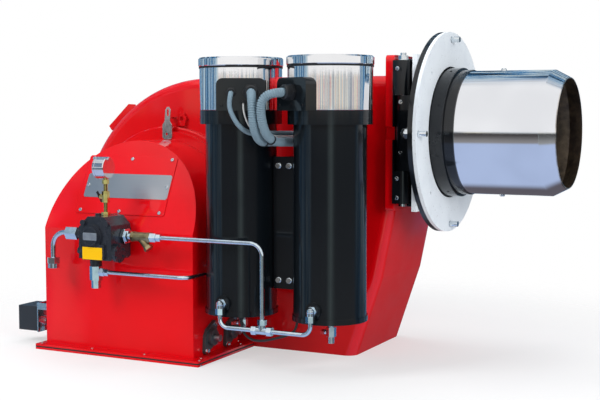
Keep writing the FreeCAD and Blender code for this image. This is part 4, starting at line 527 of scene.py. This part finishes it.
# Inside the tube: the slotted diffuser disc, the oil lance and the ignition electrodes, which
# heat has tinted.
disc_steel = plated("disc_steel", (0.30, 0.27, 0.24), (0.16, 0.13, 0.15), 0.34)
dress(disc_steel, "diffuser_disc")
bright_steel = plated("bright_steel", (0.62, 0.62, 0.63), (0.52, 0.52, 0.54), 0.16)
dress(bright_steel, "oil_lance", "motor_shaft", "pump_coupling")
porcelain = moulded("porcelain", (0.75, 0.73, 0.68), 0.25)
dress(porcelain, "ignition_electrodes")

# Preheaters: welded steel shells under gloss black paint, with polished stainless covers that
# end in a rolled lid, and black sheet boxes over the terminals.
dress(black_paint, "preheater_shell_left", "preheater_shell_right", "heating_elements",
      "terminal_cover_left", "terminal_cover_right", "preheater_bracket")
cover_steel, _, _ = polished("cover_steel", (0.88, 0.88, 0.89), (0.7744, 0.7744, 0.7832),
                             (30.0, 30.0, 420.0), 0.02, 0.06, 0.0003)
dress(cover_steel, "preheater_cover_left", "preheater_cover_right")
left_heater, right_heater, heater_y = -0.469, -0.198, -0.400
# A thin black band runs round each lid at its seam with the cover.
places = [(Matrix.Translation((axis_x, heater_y, 0.177)), (0, 0, 0.0049))
          for axis_x in (left_heater, right_heater)]
dark_seam_band = moulded("dark_seam_band", (0.008, 0.008, 0.009), 0.6)
in_scene("lid_seams", bands("lid_seams", places, 0.1137, 96, 0.0016), dark_seam_band,
         "burner")
places = []
for axis_x, turn in ((left_heater, math.radians(-60.6)), (right_heater, math.radians(-118.6))):
    out = Vector((math.cos(turn), math.sin(turn), 0))
    side = Vector((-math.sin(turn), math.cos(turn), 0))
    face = Vector((axis_x, heater_y, 0.076)) + out * 0.126
    places += [(face + side * shift, out) for shift in (-0.052, 0.052)]
screws("terminal_screws", slotted_head(0.004, 0.0025), places, black_paint, "burner")

# Glands and levers: moulded black nylon glands screwed into the boxes, a black cock lever and
# the two small red drain levers.
dark_plastic = moulded("dark_plastic", (0.010, 0.011, 0.013), 0.38)
dress(dark_plastic, "cable_glands", "motor_fan", "gauge_cock_lever")
red_lever = moulded("red_lever", (0.55, 0.01, 0.012), 0.35)
dress(red_lever, "drain_lever_left", "drain_lever_right")


# Oil pump: black painted iron casting with a round front cover and a bolted side cover. A bare
# silver plate sits on the cover and a bare yellow one on the block below it.
def cast(name, color, roughness=0.42):
    """Cast metal: a coarse skin with a few rubbed places."""
    iron = Finish(name, color, roughness)
    iron.edges(0.0016)
    worn = iron.grain(30.0, 3.0, 0.6)
    iron.set("Roughness", iron.between(worn, 0.3, 0.8, roughness - 0.1, roughness + 0.15))
    rub = iron.between(iron.grain(55.0, 4.0, 0.6), 0.55, 0.75)
    iron.set("Base Color", iron.mix(rub, color, tuple(c * 1.6 + 0.006 for c in color)))
    iron.bump(iron.grain(380.0, 4.0, 0.65), 0.00025, 0.6)
    return iron


def sheet_plate(name, low, high, y, finish):
    """A thin plate with rounded corners that faces the front."""
    thickness = 0.0006
    shape = bmesh.new()
    size = (high[0] - low[0], thickness, high[1] - low[1])
    middle = ((low[0] + high[0]) / 2, y, (low[1] + high[1]) / 2)
    bmesh.ops.create_cube(shape, size=1.0,
                          matrix=Matrix.Translation(middle) @ Matrix.Diagonal((*size, 1.0)))
    corners = [edge for edge in shape.edges
               if abs((edge.verts[0].co - edge.verts[1].co).y) > thickness / 2]
    bmesh.ops.bevel(shape, geom=corners, offset=0.002, offset_type="OFFSET", segments=4,
                    profile=0.5, affect="EDGES", material=-1)
    in_scene(name, mesh_from(shape, name), finish, "burner")


black_cast = cast("black_cast", (0.016, 0.019, 0.027), 0.24)
dress(black_cast, "pump_body")
yellow_enamel = powder_coat("yellow_enamel", (0.88, 0.50, 0.004), (0.80, 0.45, 0.004), 0.0003, 0.2)
sheet_plate("yellow_plate", (-0.8735, -0.351), (-0.8065, -0.3165), -0.5864, yellow_enamel)
silver_plate = plated("silver_plate", (0.62, 0.63, 0.65), (0.50, 0.51, 0.54), 0.3)
sheet_plate("silver_plate", (-0.866, -0.2965), (-0.820, -0.2755), -0.5933, silver_plate)
places = [((x, -0.5863, z), (0, -1, 0))
          for x, z in ((-0.8785, -0.3125), (-0.8030, -0.3125), (-0.8030, -0.3445))]
places += [((x, -0.5912, z), (0, -1, 0))
           for x, z in ((-0.8580, -0.3055), (-0.8300, -0.3055), (-0.8440, -0.2625))]
screws("pump_screws", slotted_head(0.0032, 0.0024), places, black_cast, "burner")

# Oil line: zinc-plated steel unions and bent steel pipes, a cast brass strainer, and a
# hexagon nut round the pump's outlet.
pipe_zinc = plated("pipe_zinc", (0.70, 0.80, 0.87), (0.58, 0.68, 0.76), 0.07)
dress(pipe_zinc, "oil_pipes", "line_fittings")
outlet = Matrix.Translation((-0.7735, -0.520, -0.288)) @ Matrix.Rotation(math.pi / 2, 4, "Y")
shape = bmesh.new()
bmesh.ops.create_cone(shape, cap_ends=True, segments=6, radius1=0.0235, radius2=0.0235,
                      depth=0.012, matrix=outlet)
bmesh.ops.bevel(shape, geom=shape.edges[:], offset=0.0012, offset_type="OFFSET", segments=2,
                profile=0.5, affect="EDGES", material=-1)
in_scene("port_nut", mesh_from(shape, "port_nut"), pipe_zinc, "burner")
bronze = plated("bronze", (0.44, 0.36, 0.20), (0.26, 0.20, 0.11), 0.3)
dress(bronze, "y_strainer")

# Pressure gauge: a pressed and chromed case with a printed dial behind flat glass, on a brass
# stem with a cock.
brass = plated("brass", (0.78, 0.60, 0.22), (0.60, 0.44, 0.14), 0.12)
chrome = plated("chrome", (0.80, 0.80, 0.82), (0.74, 0.74, 0.77), 0.05)
dress(chrome, "gauge_case")
dress(brass, "gauge_stem")
clear = Finish("clear_glass", (1.0, 1.0, 1.0), 0.02, transmission_weight=1.0)
clear.set("Roughness", clear.between(clear.grain(40.0), 0.4, 0.8, 0.01, 0.05))
dress(clear, "gauge_glass")
needle_paint = moulded("needle_paint", (0.01, 0.01, 0.01), 0.5)
dress(needle_paint, "gauge_needle")
dial_paint = Finish("dial_paint", (0.82, 0.82, 0.80), 0.5)
gauge_y, gauge_z = -0.520, -0.098
across = dial_paint.axis("Y", dial_paint.coords) - gauge_y
upward = dial_paint.axis("Z", dial_paint.coords) - gauge_z
away = (across * across + upward * upward).root()
turned = dial_paint.node("ShaderNodeMath", {"operation": "ARCTAN2"}, {0: across, 1: upward})
ticks = dial_paint.node("ShaderNodeMath", {"operation": "SINE"}, {0: turned * 40.0}) > 0.72
scale_ring = (away > 0.0195) * (away < 0.0245) * ticks * (upward > -0.015)
speckle = dial_paint.between(dial_paint.grain(200.0), 0.4, 0.8, 0.0, 0.06)
face_tone = dial_paint.mix(speckle, (0.82, 0.82, 0.80), (0.6, 0.6, 0.58))
dial_paint.set("Base Color", dial_paint.mix(scale_ring, face_tone, (0.02, 0.02, 0.02)))
shape = bmesh.new()
bmesh.ops.create_circle(shape, cap_ends=True, segments=64, radius=0.0285, matrix=(
    Matrix.Translation((-0.8522, gauge_y, gauge_z)) @ Matrix.Rotation(-math.pi / 2, 4, "Y")))
disc = bmesh.ops.extrude_face_region(shape, geom=shape.faces[:])["geom"]
bmesh.ops.translate(shape, vec=(0.0006, 0, 0), verts=only_verts(disc))
flats = [face for face in shape.faces if len(face.verts) > 8]
bmesh.ops.inset_individual(shape, faces=flats, thickness=0.0008, depth=0.0)
bmesh.ops.recalc_face_normals(shape, faces=shape.faces)
in_scene("gauge_dial", mesh_from(shape, "gauge_dial"), dial_paint, "burner")

# Air dampers: zinc-plated cranks, link and brackets, steel blades on shafts in grey cast flange
# bearings, and the servo motor's plastic case.
dress(zinc, "zinc_brackets", "servo_crank", "damper_link", "large_bolts")
wheel_steel = plated("wheel_steel", (0.42, 0.43, 0.45), (0.33, 0.34, 0.36), 0.35)
dress(wheel_steel, "damper_blade_front", "damper_blade_rear", "fan_wheel")
grey_cast = cast("grey_cast", (0.045, 0.055, 0.060))
dress(grey_cast, "bearings")
servo_plastic = moulded("servo_plastic", (0.020, 0.025, 0.032), 0.42)
dress(servo_plastic, "servo_motor")

# Motor: a finned, cast aluminium frame and a pressed cowl under grey paint, with a lacquered
# winding. It is bolted to the far side of the housing.
motor_paint = powder_coat("motor_paint", (0.10, 0.13, 0.16), (0.08, 0.10, 0.13), 0.002, 0.4)
dress(motor_paint, "motor_frame", "motor_cowl")
winding = cast("winding", (0.16, 0.09, 0.05))
dress(winding, "motor_stator")

# Studio floor: pale and matt. It keeps the burner's shadow near the feet and fades into the
# white surroundings further out.
shape = bmesh.new()
bmesh.ops.create_grid(shape, x_segments=1, y_segments=1, size=6.0,
                      matrix=Matrix.Translation((-0.5, 0, cad_box[0][2])))
floor = bpy.data.objects.new("floor", mesh_from(shape, "floor"))
bpy.context.scene.collection.objects.link(floor)
floor_paint = Finish("floor_paint", (0.90, 0.90, 0.90), 0.7, specular_ior_level=0.0)
floor.data.materials.append(floor_paint.material)
floor_x = floor_paint.axis("X", floor_paint.coords) + 0.5
floor_y = floor_paint.axis("Y", floor_paint.coords) + 0.1
reach = (floor_x * floor_x + floor_y * floor_y).root()
worn = floor_paint.noise(3.0, 2.0, 0.5, floor_paint.coords)
floor_paint.set("Base Color", floor_paint.mix(worn, (0.90, 0.90, 0.90), (0.87, 0.87, 0.88)))
glow = floor_paint.node("ShaderNodeEmission", {}, {"Color": (1, 1, 1, 1), "Strength": 1.0})
gone = floor_paint.node("ShaderNodeBsdfTransparent", {}, {})
seen = floor_paint.node("ShaderNodeLightPath", {}, {}, "Is Camera Ray")
surface = Signal(floor_paint, floor_paint.shader.outputs[0])
lifted = floor_paint.node("ShaderNodeMixShader", {}, {0: seen * 0.5, 1: surface, 2: glow})
edge = floor_paint.between(reach, 0.75, 1.7)
faded = floor_paint.node("ShaderNodeMixShader", {}, {0: edge, 1: lifted, 2: gone})
output = floor_paint.tree.nodes["Material Output"]
floor_paint.tree.links.new(faded.socket, output.inputs["Surface"])
floor.visible_glossy = False

# Surroundings: white to the camera. Polished metal and gloss paint show a bright sky, a dark
# skyline with streaks, and a lilac ground, as outdoors in a works yard.
world = bpy.data.worlds.new("yard")
bpy.context.scene.world = world
world.use_nodes = True
yard = Shading(world.node_tree)
yard.tree.nodes.clear()
facing = yard.node("ShaderNodeTexCoord", {}, {}, "Generated")
east, north, height = (yard.axis(letter, facing) for letter in "XYZ")
streak = yard.noise(1.6, 3.0, 0.7, yard.stretched(facing, (9.0, 9.0, 0.6)))
steel_blue = yard.mix(yard.between(streak, 0.42, 0.47), (0.015, 0.02, 0.03), (0.03, 0.20, 0.44))
columns = yard.mix(yard.between(streak, 0.51, 0.54), steel_blue, (0.55, 0.68, 0.74))
columns = yard.mix(yard.between(streak, 0.60, 0.64), columns, (0.03, 0.03, 0.04))
houses = yard.noise(1.3, 2.0, 0.6, yard.stretched(facing, (16.0, 16.0, 2.0)))
town = yard.mix(yard.between(houses, 0.38, 0.46), (0.20, 0.22, 0.27), (0.58, 0.62, 0.64))
town = yard.mix(yard.between(houses, 0.50, 0.54), town, (0.90, 0.82, 0.62))
town = yard.mix(yard.between(houses, 0.57, 0.61), town, (0.62, 0.24, 0.30))
town = yard.mix(yard.between(houses, 0.63, 0.66), town, (0.30, 0.52, 0.62))
roofs = houses * 0.016
earth = yard.mix(yard.between(height, -0.30, -0.02), (0.30, 0.29, 0.29), (0.06, 0.055, 0.055))
doorway = yard.between(east, 0.22, 0.44) * yard.between(east, 0.46, 0.68, 1.0, 0.0)
earth = yard.mix(doorway * yard.between(streak, 0.3, 0.6, 0.4, 1.0), earth, (0.75, 0.95, 0.95))
ground = yard.mix(yard.between(height, -0.34, -0.27), (0.46, 0.56, 0.80), earth)
ground = yard.mix(yard.between(north, 0.25, 0.6), ground, (0.12, 0.11, 0.13))
skyline = yard.mix(yard.between(height, -0.008, 0.004), ground, town)
haze = yard.between(east, -0.50, -0.42, 1.0, 0.0) * yard.between(height, 0.60, 0.66, 1.0, 0.0)
sky = yard.mix(haze * yard.between(height, 0.06, 0.2), (1.0, 1.0, 1.0), (0.20, 0.24, 0.32))
front = yard.mix(yard.between(height + roofs, 0.038, 0.042), skyline, sky)
left_side = yard.between(east, -0.64, -0.56, 1.0, 0.0)
behind = yard.between(north - east * 0.2, 0.10, 0.22)
behind = behind * yard.between(height, 0.80, 0.985, 1.0, 0.0)
walls = left_side.highest(behind) * yard.between(height, -0.25, -0.2)
view = yard.mix(walls.clamped(), front, columns)
mirror = yard.node("ShaderNodeBackground", {}, {"Color": view, "Strength": 1.0})
room = yard.node("ShaderNodeBackground", {}, {"Color": (0.93, 0.96, 1.0, 1), "Strength": 0.62})
white = yard.node("ShaderNodeBackground", {}, {"Color": (1, 1, 1, 1), "Strength": 1.0})
glossy = yard.node("ShaderNodeLightPath", {}, {}, "Is Glossy Ray")
direct = yard.node("ShaderNodeLightPath", {}, {}, "Is Camera Ray").highest(
    yard.node("ShaderNodeLightPath", {}, {}, "Is Transmission Ray"))
lit = yard.node("ShaderNodeMixShader", {}, {0: glossy, 1: room, 2: mirror})
shown = yard.node("ShaderNodeMixShader", {}, {0: direct, 1: lit, 2: white})
output = yard.tree.nodes.new("ShaderNodeOutputWorld")
yard.tree.links.new(shown.socket, output.inputs["Surface"])


# Lamps: three large soft panels, from the front left, the front right and above. Polished
# metal doesn't show them.
def lamp(name, location, target, size, power):
    """A panel lamp that faces its target."""
    light = bpy.data.lights.new(name, "AREA")
    light.shape = "RECTANGLE"
    light.size, light.size_y = size
    light.energy = power
    made = bpy.data.objects.new(name, light)
    bpy.context.scene.collection.objects.link(made)
    made.location = location
    to_target = Vector(target) - Vector(location)
    made.rotation_euler = to_target.to_track_quat("-Z", "Y").to_euler()
    made.visible_glossy = False


lamp("front_left_lamp", (-2.6, -3.4, 2.6), (-0.5, 0, -0.2), (1.6, 1.6), 95)
lamp("front_right_lamp", (3.2, -2.6, 1.2), (-0.2, 0, -0.2), (1.2, 2.2), 75)
lamp("top_lamp", (-0.6, 0.4, 3.2), (-0.6, 0, 0), (2.6, 1.6), 45)

# The picture's colours stay as they are written.
bpy.context.scene.view_settings.view_transform = "Standard"
